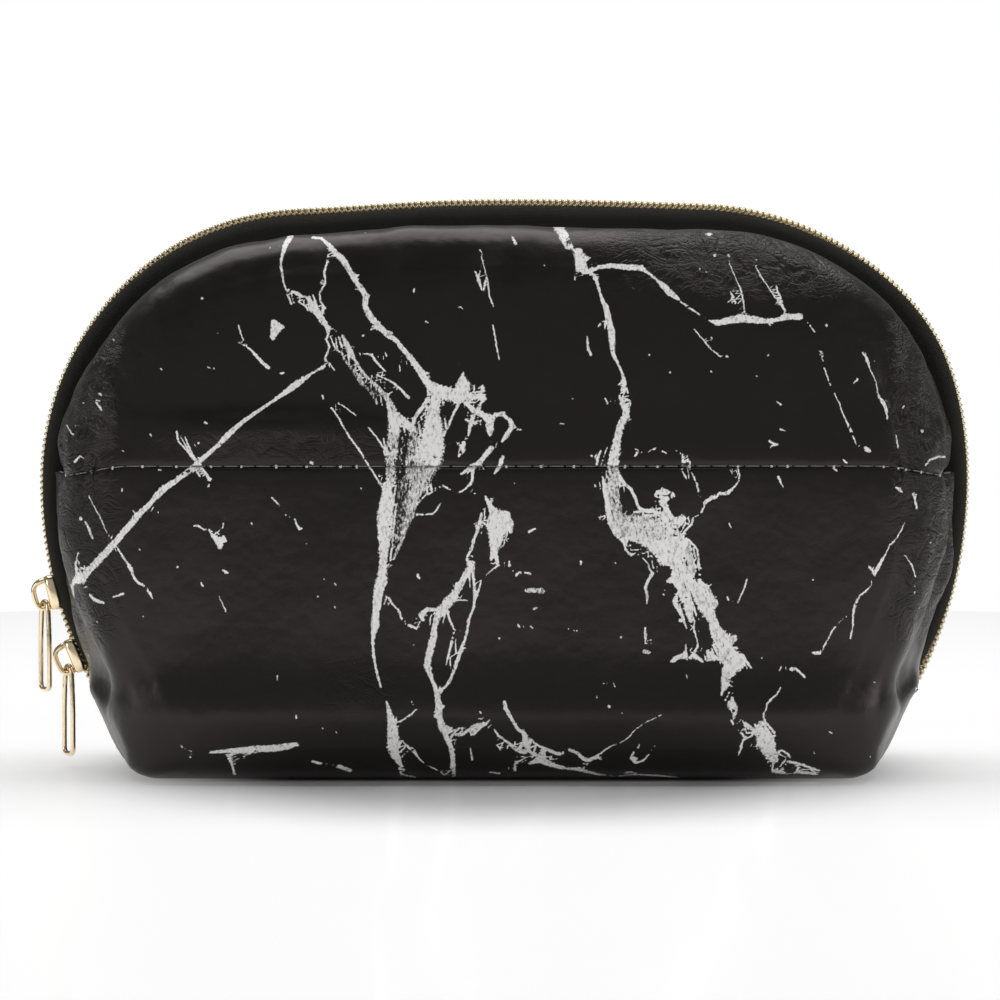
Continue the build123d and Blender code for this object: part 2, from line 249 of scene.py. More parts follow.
def place(flat, depth, lean):
    """Outline points on a front plane at this depth that leans back above the seam."""
    above = np.maximum(flat[:, 1] - SEAM_Z, 0)
    below = np.minimum(flat[:, 1] - SEAM_Z, 0)
    tip = math.radians(lean)
    y = -depth + above * math.sin(tip)
    z = SEAM_Z + below + above * math.cos(tip)
    return np.stack([flat[:, 0], y, z], -1)


def turned_outline(upper, inset, floor, depth, edge_only=False):
    """Outline at this inset, let out or drawn in so that the wall turns into the face sooner
    over the crest and on the left, and the tape shows wider over the crest."""
    outline = upper_curve(inset) if upper else lower_curve(inset, floor)
    inner = upper_curve(inset + 1) if upper else lower_curve(inset + 1, floor)
    x, z = outline.T
    crest = smooth_step(z, 98, 126)
    beside = (1 - crest) * smooth_step(z, 28, 50)
    turned = 0.2 + 0.8 * smooth_step(z, 22, 56)
    tight = crest + (1 - crest) * turned * np.where(x < 0, 0.95, 0.65)
    edge = 1.3 * beside - 4.0 * crest
    shift = edge if edge_only else edge * (1 - smooth_step(depth, 11, 20))
    if not edge_only:
        shift = shift + tight * 12.6 * np.clip((depth - 18) / 26, 0, 1) ** 1.2
    return outline + (outline - inner) * shift[:, None]


def panel_grid(upper, under=0.0):
    """Front panel as rows x columns of points: from the tape's edge round the wall, over the
    face and down or up to the seam. under moves it inwards."""
    rows = []
    for w in np.linspace(0, len(WALL) - 1, WALL_ROWS):
        depth, inset, floor, lean = wall_at(w)
        slope_a, slope_b = wall_at(max(w - 0.05, 0)), wall_at(min(w + 0.05, 4))
        run, fall = slope_b[0] - slope_a[0], slope_b[1] - slope_a[1]
        size = math.hypot(run, fall)
        depth_u = depth - under * fall / size if w > 0 else depth
        inset_u = inset + under * (run / size if w > 0 else 1)
        share = 1.0 - smooth_step(w, 2.6, 4.0)
        curve = turned_outline(upper, inset_u, floor + under * share, depth)
        rows.append(place(curve, depth_u, lean))
    depth, inset, floor, lean = WALL[-1]
    rim_flat = turned_outline(upper, inset_u, floor, depth)
    columns = len(rim_flat)
    seam_x = np.linspace(rim_flat[0, 0], rim_flat[-1, 0], columns)
    for t in np.linspace(0, 1, FACE_ROWS)[1:]:
        flat = rim_flat * (1 - t) + np.stack([seam_x, np.full(columns, SEAM_Z)], -1) * t
        # distance already gone from the rim decides how far the face has swollen
        gone = np.hypot(*(flat - rim_flat).T)
        swell = FACE_SWELL * (1 - np.exp(-gone / FACE_SWELL_RUN))
        rows.append(place(flat, depth - under + swell, lean))
    return np.stack(rows)


# Half-width of the boxed part, by height above the floor
FLANK_Z = (0.0, 0.6, 1.9, 3.2, 4.6, 7.2, 9.8, 15.0, 20.0, 24.0, 28.0, 34.0)
FLANK_TAPER = 8.5       # the flanks draw in towards the face
FLANK_X = (87.5, 93.5, 97.6, 100.2, 102.0, 104.2, 105.6, 107.8, 110.2, 113.2, 117.0, 125.0)


def soften(points, upper):
    """Soft unevenness of real leather: belly and fold low on the face, sagging seam ends,
    folds on the flanks and slack along the rolled edge."""
    p = points.copy()
    x, y, z = p[:, 0], p[:, 1], p[:, 2]
    face = smooth_step(-y, 34, 43) * smooth_step(100 - np.abs(x), 0, 22)
    p[:, 1] -= face * 3.3 * hump(z, 18, 9)
    p[:, 1] += face * (0.4 * hump(z, 94, 7) - 0.4 * hump(z, 112, 9))
    p[:, 1] -= 2.3 * hump(z, 92.5, 4.4) * hump(x, -62, 28) * smooth_step(-y, 30, 38)
    p[:, 1] -= face * 0.5 * waves(p, 70, 11, 2)
    flank = smooth_step(np.abs(x), 92, 108) * smooth_step(z, 18, 42)
    p[:, 0] += np.sign(x) * flank * 0.9 * waves(p * (1, 1, 1.6), 34, 12, 3)
    p[:, 1] -= flank * 0.5 * waves(p, 26, 13, 3)
    # upright fold low on the right-hand flank, slack above the seam ends
    right = smooth_step(x, 99, 104) * hump(z, 58, 22)
    p[:, 0] += 1.7 * right * hump(y, -14, 4.5)
    p[:, 0] -= 1.2 * right * hump(y, -21, 4.0)
    seam_end = smooth_step(np.abs(x), 104, 114)
    p[:, 0] += np.sign(x) * 0.9 * seam_end * hump(z, 92, 5) * smooth_step(-y, 6, 14)
    notch = np.exp(-np.abs(z - SEAM_Z) / 2.4) * (1 - smooth_step(-y, 10, 20))
    p[:, 0] -= np.sign(x) * seam_end * notch * (2.6 if upper else -0.7)
    # rolled top edge is a little slack
    crest = smooth_step(z, 122, 136)
    p[:, 2] += crest * 0.5 * waves(p, 30, 14, 3)
    # the seam's ends hang lower on the flanks
    p[:, 2] -= 2.6 * smooth_step(np.abs(x), 96, 118) * hump(z, SEAM_Z, 16)
    # towards the zip's ends the leather closes in over the tape, and the boxed corners below
    # them stand out full
    out_x = x - np.sign(x) * SIDE_X
    out_z = z - WIDEST_Z
    reach = np.hypot(out_x, out_z)
    starts = np.where(x < 0, 54, 45)
    closing = smooth_step((starts - z) / (starts - 21), 0, 1) * smooth_step(np.abs(x), 78, 96)
    depth = -y
    push = 5.0 * closing * smooth_step(depth, 1, 9) * (1 - smooth_step(depth, 10, 34))
    push = push * smooth_step(z, 3, 17)
    squeeze = 0.52 * smooth_step(36 - z, 0, 14) * (1 - smooth_step(depth, 9, 18))
    squeeze = 1 - squeeze * smooth_step(np.abs(x), 78, 96)
    p[:, 0] += push * out_x / reach
    p[:, 2] += push * np.maximum(out_z, -40) / reach * smooth_step(z, 0, 18)
    p[:, 1] *= squeeze
    low = smooth_step(30 - p[:, 2], 0, 24)
    foot = low * (0.055 + 0.09 * smooth_step(depth, 2, 22))
    boxed = 0.28 * smooth_step(depth, 26, 44) * (np.clip(52 - p[:, 2], 0, 52) / 52) ** 1.5
    p[:, 0] *= 1 + foot * (1 - smooth_step(depth, 30, 44)) + boxed
    # below the zip's ends the flanks run straight down to the rounded corners
    taper = FLANK_TAPER * (np.clip(depth, 0, 44) / 40) ** 1.5
    taper = taper * (0.35 + 0.65 * smooth_step(p[:, 2], 0, 9))
    limit = np.interp(p[:, 2], FLANK_Z, FLANK_X) + 1.0 + 0.6 * np.sign(-x) - taper
    over = np.abs(p[:, 0]) - limit
    p[:, 0] -= np.sign(x) * (over + np.sqrt(over**2 + 1.2)) / 2
    p[:, 2] = np.maximum(p[:, 2], 0.0)
    return p


def slump(points):
    """The arch stands a little fuller at the right shoulder and lower left of the crown."""
    p = np.array(points, float)
    x, z = p[:, 0], p[:, 2]
    right = 2.4 * smooth_step(x, 34, 78) * hump(z, 119, 24)
    away_x, away_z = x - SHOULDER_X, z - WIDEST_Z
    reach = np.maximum(np.hypot(away_x, away_z), 1.0)
    p[:, 0] += right * np.maximum(away_x, 0) / reach
    p[:, 2] += right * away_z / reach
    p[:, 2] -= 1.1 * hump(x, -50, 26) * smooth_step(z, 118, 138)
    return p


# ---------------------------------------------------------------- marble print
# Each vein is a strand through points on the wall as seen from the front: x, z and half-width.
# Before them stand how broken up it is (0 a line, 1 dots) and how cloudy (0 solid).
VEINS = [
    # long slanting vein on the left, with its tail and shoots
    (0.05, 0.25, [(-46.7, 108.2, 0.4), (-50, 106.3, 0.3), (-53, 104.2, 0.8), (-56, 102, 0.7),
        (-60, 99, 0.35), (-64, 96.5, 0.45), (-68, 93.5, 0.55), (-71.5, 90.3, 0.7),
        (-74.5, 87.3, 0.5), (-77.5, 84.7, 0.6), (-80.5, 82, 0.7), (-84, 79.3, 0.6),
        (-88, 76.5, 0.9), (-91, 73.3, 0.6), (-95, 69.3, 0.8), (-99.5, 64, 0.8), (-103.5, 59.5, 0.9),
        (-107, 56, 0.9), (-109.8, 53.2, 1.0)]),
    (0, 0.1, [(-109.5, 53, 1.2), (-112, 52.5, 0.6), (-113, 50.5, 0.4), (-112.5, 48, 0.25)]),
    (0, 0, [(-110.8, 54.5, 0.5), (-111.5, 57, 0.15), (-110.5, 60, 0.15)]),
    (0, 0, [(-99.8, 61.2, 0.25), (-98, 58.5, 0.25), (-96.5, 56.3, 0.4), (-95, 52.7, 0.25),
        (-93, 51.8, 0.35)]),
    (0, 0, [(-91.5, 49.8, 0.4), (-90.8, 48.2, 0.2)]),
    (0, 0, [(-80.5, 84.5, 0.2), (-82, 86.5, 0.2), (-84, 89, 0.2), (-84.6, 91.3, 0.3)]),
    (0, 0, [(-79.8, 84.3, 0.25), (-81.3, 87.5, 0.25), (-82.3, 90, 0.2)]),
    (0, 0, [(-79, 83, 0.3), (-77, 81, 0.3), (-76, 79.2, 0.5)]),
    (0, 0, [(-79.5, 81.5, 0.2), (-78.5, 79.7, 0.2)]),
    (0, 0, [(-80.1, 67.3, 0.2), (-79, 67.3, 0.35), (-77.2, 66.2, 0.15)]),
    (0, 0, [(-76.2, 66.2, 0.2), (-74.8, 64, 0.4), (-73.5, 63, 1.1), (-73.4, 61.8, 0.6)]),
    (0, 0, [(-72.5, 64, 0.6), (-71.6, 62.8, 0.2)]),
    (0, 0.1, [(-59.8, 119.7, 0.7), (-59.2, 118, 1.3), (-60, 115.8, 0.7)]),
    (0, 0, [(-58.2, 118.6, 0.8), (-57.3, 118.4, 0.5)]),
    (0, 0, [(-69, 118.9, 0.2), (-68, 116, 0.15), (-66.8, 113.3, 0.2), (-65, 111.8, 0.3),
        (-63, 109.5, 0.4), (-61, 107.9, 0.5)]),
    (0, 0, [(-68.9, 114.6, 0.15), (-66.2, 112.6, 0.15)]),
    (0, 0, [(-108.4, 67.8, 0.25), (-107.3, 66, 0.4), (-106.5, 63.5, 0.25)]),
    (0.3, 0, [(-107.5, 75, 0.12), (-106, 72, 0.15), (-104.5, 69.5, 0.15), (-102.5, 65, 0.15)]),
    (0, 0, [(-107.6, 49.2, 0.3), (-106, 47.5, 0.5), (-104, 47, 0.35)]),
    (0, 0, [(-101, 48.8, 0.2), (-98.5, 49.6, 0.3)]),
    (0, 0, [(-111.5, 83.5, 0.3), (-110, 85, 0.25), (-109, 84.6, 0.15)]),
    (0, 0, [(-114.5, 93, 0.15), (-112, 90.5, 0.2)]),
    (0, 0, [(-106, 99, 0.2), (-104.2, 97, 0.3)]),
    (0, 0, [(-105, 101.2, 0.25), (-104.2, 100.7, 0.2)]),
    (0.5, 0, [(-72.3, 69.3, 0.15), (-72.6, 66.5, 0.15)]),
    (0, 0, [(-54.2, 69, 0.2), (-53.8, 67.8, 0.25), (-53, 66.2, 0.3), (-52.4, 66.6, 0.2)]),
    (0.4, 0, [(-60, 74.6, 0.2), (-58, 72.5, 0.2)]),
    (0, 0, [(-72, 55.2, 0.4), (-71.6, 55.1, 0.35)]),
    (0.3, 0, [(-73.5, 48.8, 0.12), (-71.7, 44.7, 0.2)]),
    (0, 0, [(-78.3, 52.5, 0.15), (-77.7, 51.5, 0.2)]),
    (0, 0, [(-47, 100.5, 0.35), (-46.9, 100, 0.15)]),
    (0, 0, [(-58, 106.4, 0.25), (-57.2, 106.6, 0.25)]),
    # two strands that come down from the crest on the left
    (0, 0.12, [(-50.5, 142, 0.35), (-48, 141.8, 0.3), (-45.5, 139.6, 0.6), (-43.5, 137.3, 0.7),
        (-41, 134.5, 0.75), (-39.5, 131.5, 0.6), (-37.3, 128.5, 0.65), (-36, 126.5, 0.7),
        (-36.3, 123.8, 0.7), (-34.6, 121, 0.8), (-32.5, 118.5, 0.8), (-30.5, 116.5, 0.75),
        (-28, 114.8, 0.6), (-26.5, 112.8, 0.6), (-23.8, 109.7, 0.75), (-21.3, 106, 0.8),
        (-19.3, 103.2, 0.8)]),
    (0, 0.15, [(-56.3, 142, 0.8), (-57.2, 140, 0.7), (-58, 136.8, 0.4), (-58.4, 135, 0.25),
        (-58, 133, 0.3), (-57.4, 130, 0.2), (-56.5, 127.3, 0.25), (-55.3, 124.4, 0.25)]),
    (0.1, 0.2, [(-56, 128, 0.3), (-53.5, 126.9, 0.5), (-52.3, 126.3, 0.3)]),
    (0, 0.3, [(-51, 126, 0.5), (-50, 124.2, 0.8), (-48.5, 122, 0.9), (-47, 119.8, 0.8),
        (-45.8, 118.4, 0.6), (-45.8, 116.5, 0.3), (-46.3, 115.2, 0.3), (-45.3, 113.5, 0.25),
        (-46, 111.5, 0.3), (-46.7, 110.3, 0.2), (-45.3, 108.9, 0.2), (-44, 107.2, 0.15)]),
    (0, 0.2, [(-53.5, 125, 0.2), (-51.5, 123.8, 0.3), (-50.9, 122.8, 0.2)]),
    (0, 0.1, [(-46, 138, 0.25), (-46.2, 135.5, 0.25), (-47, 132.5, 0.3), (-46.5, 130, 0.2),
        (-48, 127.3, 0.2), (-47.8, 125.3, 0.2), (-46.7, 123.3, 0.4)]),
    (0, 0, [(-43.6, 115.5, 0.15), (-43.4, 112.3, 0.25)]),
    (0, 0.4, [(-42, 116, 0.3), (-40.5, 113, 0.8), (-39.6, 111.5, 0.8), (-38.8, 110, 0.3),
        (-37.3, 107.5, 0.4), (-35.5, 105.3, 0.3)]),
    (0, 0.55, [(-42.3, 111.8, 0.2), (-41.5, 110, 0.3), (-40.5, 108.5, 0.3), (-38.3, 106, 0.5),
        (-37, 104, 0.6)]),
    (0, 0.5, [(-34.5, 104.5, 0.4), (-32.5, 102.5, 0.5), (-30.8, 100.5, 0.6), (-29.5, 98.5, 0.7),
        (-28.5, 96, 1.2)]),
    (0, 0.6, [(-36, 103, 0.3), (-34, 101, 0.5), (-33, 98.8, 0.3)]),
    (0, 0, [(-36.8, 111.6, 0.12), (-34.5, 111.3, 0.3), (-33.5, 109.8, 0.3), (-31, 107, 0.2)]),
    (0, 0.1, [(-33, 105.8, 0.25), (-30.5, 104.8, 0.2), (-28.5, 103.8, 0.3), (-26.5, 101.8, 0.3),
        (-24.8, 100, 0.35)]),
    (0.6, 0, [(-27.2, 109, 0.15), (-27.1, 107, 0.15)]),
    # the knot where they meet
    (0, 0, [(-21.5, 106.5, 0.9), (-19.5, 103.5, 1.0), (-17, 102.3, 1.3), (-14.5, 100.8, 1.5),
        (-11.5, 100.3, 1.5), (-9, 100.3, 0.9), (-6, 100.6, 0.7), (-5, 100, 0.4)]),
    (0, 0, [(-11, 105.3, 0.7), (-10.7, 103.2, 1.9), (-10.8, 101.5, 1.6)]),
    (0, 0, [(-5.5, 99.5, 0.4), (-6.5, 98, 0.35), (-6.6, 96.8, 0.4)]),
    (0, 0, [(-10, 99, 0.5), (-8, 96.8, 0.7), (-5.5, 95.5, 0.75), (-4, 94.5, 0.9), (-3.8, 92, 1.0),
        (-3.6, 90.6, 0.5)]),
    (0, 0, [(-3.2, 94.5, 0.5), (-2, 96, 0.4), (-0.5, 95.6, 0.4), (1.2, 94.5, 0.5), (2, 93, 0.6),
        (1, 91.3, 0.55), (0, 89.8, 0.55), (-0.8, 88.8, 0.3)]),
    (0, 0.2, [(-7, 102.5, 0.2), (-5.8, 103.2, 0.25), (-5.2, 102, 0.35), (-6.3, 101.5, 0.25)]),
    (0, 0, [(-11.5, 99, 0.4), (-13.3, 96, 0.3), (-14.6, 93, 0.3), (-15.5, 90.5, 0.2)]),
    (0, 0.12, [(-17.5, 101.5, 1.2), (-18, 98.5, 1.4), (-18.5, 95.5, 1.8), (-18.5, 92, 2.6),
        (-18.8, 88, 3.2), (-19.6, 84.5, 3.4)]),
    (0, 0.5, [(-20.5, 83, 3.2), (-21.5, 79.5, 2.6), (-22.3, 77, 1.8), (-23.8, 73.5, 1.1),
        (-24, 70.5, 0.9), (-25.5, 67, 0.6), (-26.5, 63.5, 0.5), (-28.5, 59, 0.3)]),
    (0, 0.55, [(-23.5, 92, 1.0), (-23.6, 88, 1.4), (-24, 84.5, 1.5), (-24.5, 80, 0.9)]),
    (0, 0.15, [(-30, 98.5, 0.6), (-28.5, 95.5, 1.4), (-28.4, 91.5, 1.5)]),
    (0, 0.5, [(-28.4, 91.5, 1.4), (-28.8, 87.5, 1.4), (-29.2, 83.5, 1.3), (-29.3, 79.5, 1.2)]),
    (0, 0.03, [(-29.9, 78, 0.8), (-30.2, 76, 1.2), (-30.6, 72, 1.9), (-30.9, 68, 2.0),
        (-31, 64.5, 1.7), (-31, 60.5, 1.1), (-31.4, 57, 0.9), (-31.8, 53, 1.4), (-32.8, 49, 1.2),
        (-33.2, 45, 0.9), (-33.4, 41.5, 1.0), (-34, 38.5, 0.5), (-33.9, 34, 0.3), (-33, 29.5, 0.3),
        (-32, 25.7, 0.3)]),
    (0, 0.2, [(-27, 95, 0.8), (-25, 93, 1.0), (-23.5, 91.5, 0.9)]),
    (0, 0.65, [(-27.3, 79, 0.35), (-27, 74, 0.6), (-27.8, 68, 0.6), (-28.6, 62, 0.3)]),
    (0, 0.6, [(-25.8, 79.5, 0.4), (-25.5, 75, 0.7), (-26.2, 70, 0.7), (-27.5, 64, 0.45)]),
    (0.05, 0, [(-44.8, 97.6, 0.2), (-42.5, 94.5, 0.2), (-40, 90, 0.25), (-37, 86, 0.25),
        (-35, 82.5, 0.25), (-33, 79.5, 0.25), (-31.5, 77, 0.2)]),
    (0, 0, [(-43, 98.8, 0.15), (-40.8, 97.5, 0.15), (-38.5, 95.6, 0.15)]),
    (0, 0, [(-35.2, 92.4, 0.2), (-33, 90, 0.2), (-31.2, 87, 0.3), (-31, 85, 0.3)]),
    (0, 0.2, [(-20, 103.5, 0.3), (-19.6, 100.5, 0.3), (-21, 98, 0.5), (-22.8, 95.5, 0.45),
        (-23.6, 94, 0.4)]),
    (0, 0.2, [(-8.5, 94.8, 0.5), (-9, 92.8, 0.5), (-9.3, 90.5, 0.25)]),
    (0, 0.2, [(-10, 94.5, 0.3), (-7.2, 93.5, 0.3)]),
    (0, 0, [(-10.5, 88.6, 0.5), (-11, 86.8, 0.8), (-11.8, 85.2, 0.3)]),
    (0, 0, [(-3.4, 87.2, 0.6), (-5, 85.3, 0.7), (-6.5, 83.5, 0.5), (-8.5, 82.3, 0.7),
        (-11, 80.6, 0.35)]),
    (0, 0, [(-8.2, 82, 0.5), (-8.4, 79.5, 0.4), (-8.5, 78.4, 0.4), (-10.3, 76.5, 0.2),
        (-11.8, 75.7, 0.2)]),
    (0, 0, [(-0.5, 84.8, 0.5), (-1.2, 82.6, 0.6), (-2.7, 80.7, 0.25)]),
    (0, 0, [(-20, 80, 0.3), (-19.2, 78, 0.3), (-18.5, 76, 0.25), (-20.5, 75, 0.2),
        (-22.3, 73.3, 0.3)]),
    (0.4, 0, [(-16.8, 77.2, 0.25), (-15.8, 77.5, 0.25), (-14.2, 76.6, 0.2)]),
    (0.3, 0, [(-16.6, 73, 0.2), (-17.5, 71.3, 0.2), (-18.5, 70.2, 0.2), (-22.5, 70, 0.25)]),
    # leaf and the forked vein under it
    (0, 0.05, [(-5, 74.6, 0.3), (-4.2, 73.2, 0.5), (-3, 71, 1.0), (-1.6, 68.8, 2.5),
        (-1.8, 66.2, 2.4), (-2.4, 63, 1.6), (-2.9, 60.5, 0.8), (-3.4, 58.5, 0.35)]),
    (0, 0, [(0.4, 70.2, 0.9), (1.2, 67.5, 1.0), (1.6, 65.6, 0.5)]),
    (0, 0, [(-2.2, 60, 0.4), (-1.9, 58, 0.4), (-1.4, 57, 0.3), (-3, 56, 0.15), (-4.4, 55, 0.15)]),
    (0, 0.1, [(-6, 70.5, 0.3), (-6.6, 67.5, 0.45), (-7.8, 64, 0.4), (-8.6, 61, 0.35),
        (-9.7, 59.3, 0.3), (-9.4, 57.8, 0.4)]),
    (0, 0, [(-5.5, 68, 0.3), (-4.8, 67.5, 0.3)]),
    (0, 0.05, [(-8.3, 57.5, 0.8), (-9.4, 55.5, 0.8), (-11, 53, 0.8), (-12.4, 50.3, 0.9),
        (-14, 48, 1.1), (-15.6, 46, 1.3), (-17, 44.5, 1.0), (-18, 41, 0.6), (-18.4, 38.2, 0.9),
        (-19.4, 34.5, 0.9), (-20, 31, 0.8), (-18.9, 27.8, 0.4), (-17.8, 25, 0.5), (-17.2, 22, 0.7),
        (-17, 19, 0.8), (-16.4, 16, 0.8), (-15.2, 13, 0.7), (-14, 10.3, 0.6), (-13.4, 7.3, 0.6),
        (-13.4, 4.5, 0.6), (-13.2, 1.8, 0.4)]),
    (0, 0, [(-8.2, 56, 0.5), (-7.9, 53, 0.3), (-7.8, 50, 0.3), (-7.9, 46.5, 0.3), (-9.2, 43, 0.35),
        (-9.8, 39, 0.3), (-11, 36, 0.4), (-11.9, 33.5, 0.5), (-13, 30, 0.4), (-14.5, 26.5, 0.35),
        (-16.8, 24.2, 0.3)]),
    (0, 0, [(-6.1, 52.9, 0.2), (-6.9, 50, 0.25), (-7.6, 48, 0.3)]),
    (0, 0, [(-12.3, 48, 0.25), (-9.5, 47.8, 0.15)]),
    (0, 0.1, [(-18, 45.4, 0.4), (-20, 45.8, 0.5), (-21.6, 44.2, 0.6), (-21, 43, 0.45)]),
    (0, 0, [(-30, 48.6, 0.3), (-28.6, 46.8, 0.25), (-27.2, 45.3, 0.25), (-26.6, 43, 0.3)]),
    (0, 0, [(-24.5, 41.4, 0.4), (-22.8, 40.7, 0.3)]),
    (0, 0, [(-22.4, 54.5, 0.4), (-22, 53.5, 0.3)]),
    (0, 0, [(-14.8, 45, 0.4), (-14, 42.5, 0.3), (-12.8, 40.2, 0.25)]),
    (0, 0, [(-13.6, 37.5, 0.35), (-14.4, 34, 0.3), (-15.1, 31.3, 0.15)]),
    (0, 0.5, [(5.6, 50.6, 0.5), (9.5, 50.4, 0.7)]),
    (0, 0, [(3, 54.5, 0.4), (3.8, 55.3, 0.2)]),
    (0, 0, [(5, 55.2, 0.2), (6.5, 54.7, 0.35)]),
    (0, 0, [(6.2, 65.8, 0.4), (8, 66.3, 0.2)]),
    (0, 0, [(1.3, 56.8, 0.3), (1.1, 58, 0.15)]),
    (0, 0, [(7.6, 45.7, 0.3), (8.4, 46, 0.2)]),
    (0, 0, [(3.5, 41.5, 0.2), (3.9, 41, 0.25)]),
    # low down on the left and in the middle
    (0, 0, [(-30.4, 22, 0.2), (-29.6, 19, 0.7), (-28.9, 15, 1.3), (-28.7, 11, 1.4), (-28.4, 8, 1.2),
        (-27.3, 5.3, 0.6), (-26, 3.4, 0.2)]),
    (0, 0, [(-27.3, 3.6, 0.3), (-27, 2, 0.3), (-25, 1.5, 0.2), (-23.4, 1.1, 0.3)]),
    (0, 0, [(-27, 16.8, 0.2), (-24.5, 18.4, 0.25), (-22.7, 20.2, 0.2)]),
    (0.4, 0, [(-27.2, 12.8, 0.15), (-25.7, 10.6, 0.2), (-23.3, 8.9, 0.5), (-22.6, 7.2, 0.2),
        (-21.3, 5.7, 0.15), (-18.5, 3.8, 0.2), (-16.5, 2.9, 0.2), (-15, 1.4, 0.15)]),
    (0, 0.35, [(-14.8, 15.2, 0.5), (-13, 13.5, 0.5), (-11.3, 13, 0.35), (-9.5, 14.5, 0.4),
        (-8, 13.6, 0.6), (-6.5, 15.2, 0.4), (-4.6, 16.2, 0.35), (-4, 17.3, 0.2)]),
    (0, 0.4, [(-12, 15, 0.3), (-9, 14.8, 0.2), (-7.6, 16, 0.3), (-6, 16.3, 0.3)]),
    (0, 0, [(-2.7, 14.7, 0.2), (-1.8, 13, 0.3), (0.4, 11.6, 0.3), (2.3, 10, 0.5), (3.5, 9.2, 0.7),
        (4.8, 8.3, 0.4)]),
    (0, 0.15, [(-0.1, 22, 0.4), (0.3, 20, 0.5), (2, 17.3, 0.4), (3.5, 14.8, 0.4), (5, 13.5, 0.5),
        (5.4, 11, 0.8), (6, 9.3, 0.5), (7.5, 7.8, 0.4)]),
    (0, 0.1, [(5.5, 13, 0.4), (7.5, 11, 0.35), (9, 9.9, 0.3), (11, 9.3, 0.4), (13, 8.2, 0.5),
        (14.5, 8, 0.4)]),
    (0, 0.1, [(9.7, 9, 0.4), (9.3, 7, 0.9), (7.5, 5.8, 0.5), (6.3, 5.2, 0.2)]),
    (0, 0.1, [(9.5, 6.5, 1.0), (11.5, 5.2, 0.7), (14.5, 4.3, 0.5), (16, 4, 0.25)]),
    (0, 0.1, [(16.5, 4, 0.3), (19, 3.7, 0.5), (22, 2.7, 0.4), (26.3, 1.8, 0.25)]),
    (0, 0.1, [(16.6, 9, 0.4), (18.5, 8.3, 0.4), (20.5, 6.6, 0.5), (22, 6.3, 0.5), (23.5, 7.3, 0.4),
        (25, 8.5, 0.2)]),
    (0.35, 0, [(25, 8.5, 0.2), (27, 10, 0.15), (30, 11.3, 0.12), (32, 12.7, 0.15), (34, 15, 0.12),
        (36.5, 16.7, 0.15), (40, 18.5, 0.15)]),
    (0, 0, [(33.3, 8.6, 0.2), (32.8, 7, 0.4), (34, 5.7, 0.4), (35.8, 6, 0.3), (37.4, 8, 0.15)]),
    (0, 0, [(31.2, 2.9, 0.2), (33.2, 2.9, 0.25)]),
    (0, 0.1, [(29.3, 1.4, 0.15), (33, 2, 0.15), (36, 1.9, 0.25), (40, 1.7, 0.3), (45, 1, 0.2)]),
    (0, 0, [(2.8, 6, 0.2), (2.7, 3.3, 0.3), (1.9, 4.3, 0.2)]),
    (0, 0, [(4, 6, 0.25), (5.4, 6.8, 0.2)]),
    (0, 0, [(-8.9, 9.5, 0.15), (-8.3, 6.4, 0.25)]),
    (0, 0, [(-2.1, 10.6, 0.2), (-1.2, 9.2, 0.3)]),
    (0, 0, [(-4, 2.8, 0.2), (-1.5, 2.4, 0.3)]),
    (0, 0.1, [(-76, 8.5, 0.5), (-73, 8.7, 0.4), (-68, 9, 0.9), (-62, 9.4, 0.9), (-57, 10, 0.9),
        (-53.6, 10.6, 0.5)]),
    (0, 0.1, [(-72, 8.5, 0.5), (-70.7, 5, 0.3), (-70.2, 2, 0.3)]),
    (0, 0, [(-43, 4.6, 0.6), (-40, 3.2, 0.5)]),
    (0, 0, [(-50, 6.0, 0.3), (-47.5, 5.2, 0.4)]),
    # strand down the middle from the crest, and its arm to the right
    (0, 0.4, [(13, 145, 0.4), (14.5, 144, 0.9), (15.3, 141.5, 0.7), (16.2, 139, 0.3)]),
    (0, 0.1, [(15.5, 144.5, 0.4), (16.7, 142, 0.3), (17.4, 139.6, 0.3), (18.3, 138, 0.5)]),
    (0, 0, [(19.3, 138, 1.1), (19.7, 135.5, 1.4), (20.6, 133.3, 1.1), (22.3, 132.5, 0.4)]),
    (0, 0, [(18.1, 137, 0.25), (18.6, 133.5, 0.25), (18.2, 130.6, 0.15)]),
    (0, 0, [(22.4, 132.8, 0.35), (24.5, 134, 0.5), (28, 134.4, 0.6), (32, 134, 0.75),
        (35.5, 133.8, 0.8), (37, 132.8, 0.35), (39.5, 130.8, 0.25), (41, 129.2, 0.8),
        (43, 127.2, 0.8), (45, 125.5, 0.4)]),
    (0, 0, [(45.8, 124.8, 0.2), (48.5, 123, 0.25), (50.5, 121.5, 0.15)]),
    (0.3, 0, [(49, 118, 0.12), (51.8, 114.4, 0.2), (55.8, 110.7, 0.15)]),
    (0, 0, [(52.8, 120.1, 0.15), (55, 119.4, 0.7), (58, 120.2, 0.9), (61, 120.7, 1.1),
        (64.5, 120.2, 0.9), (68, 119.9, 0.6), (71.5, 120.4, 0.5), (74, 121, 0.7),
        (76.4, 121.1, 0.85)]),
    (0, 0, [(23, 132, 0.4), (23.7, 131, 0.7), (24.3, 129, 0.3), (25.2, 126, 0.3),
        (26.3, 123.5, 0.7), (26.9, 120, 0.8), (27.6, 117, 0.9), (27.9, 113.5, 0.7),
        (28.2, 111, 0.5), (29.2, 109, 0.3), (30.3, 106.5, 0.3), (30.9, 104, 0.6),
        (30.5, 102, 0.4)]),
    (0, 0, [(31.2, 103.3, 0.3), (31.9, 101.5, 0.2)]),
    (0, 0.1, [(29.7, 100.5, 0.3), (30.2, 98.5, 0.5), (31.3, 97, 0.9), (31.3, 95.5, 0.8),
        (30, 93.3, 0.9), (29.3, 91, 0.9), (28.8, 88.5, 1.0), (28.2, 86, 1.2), (27.9, 83, 1.4)]),
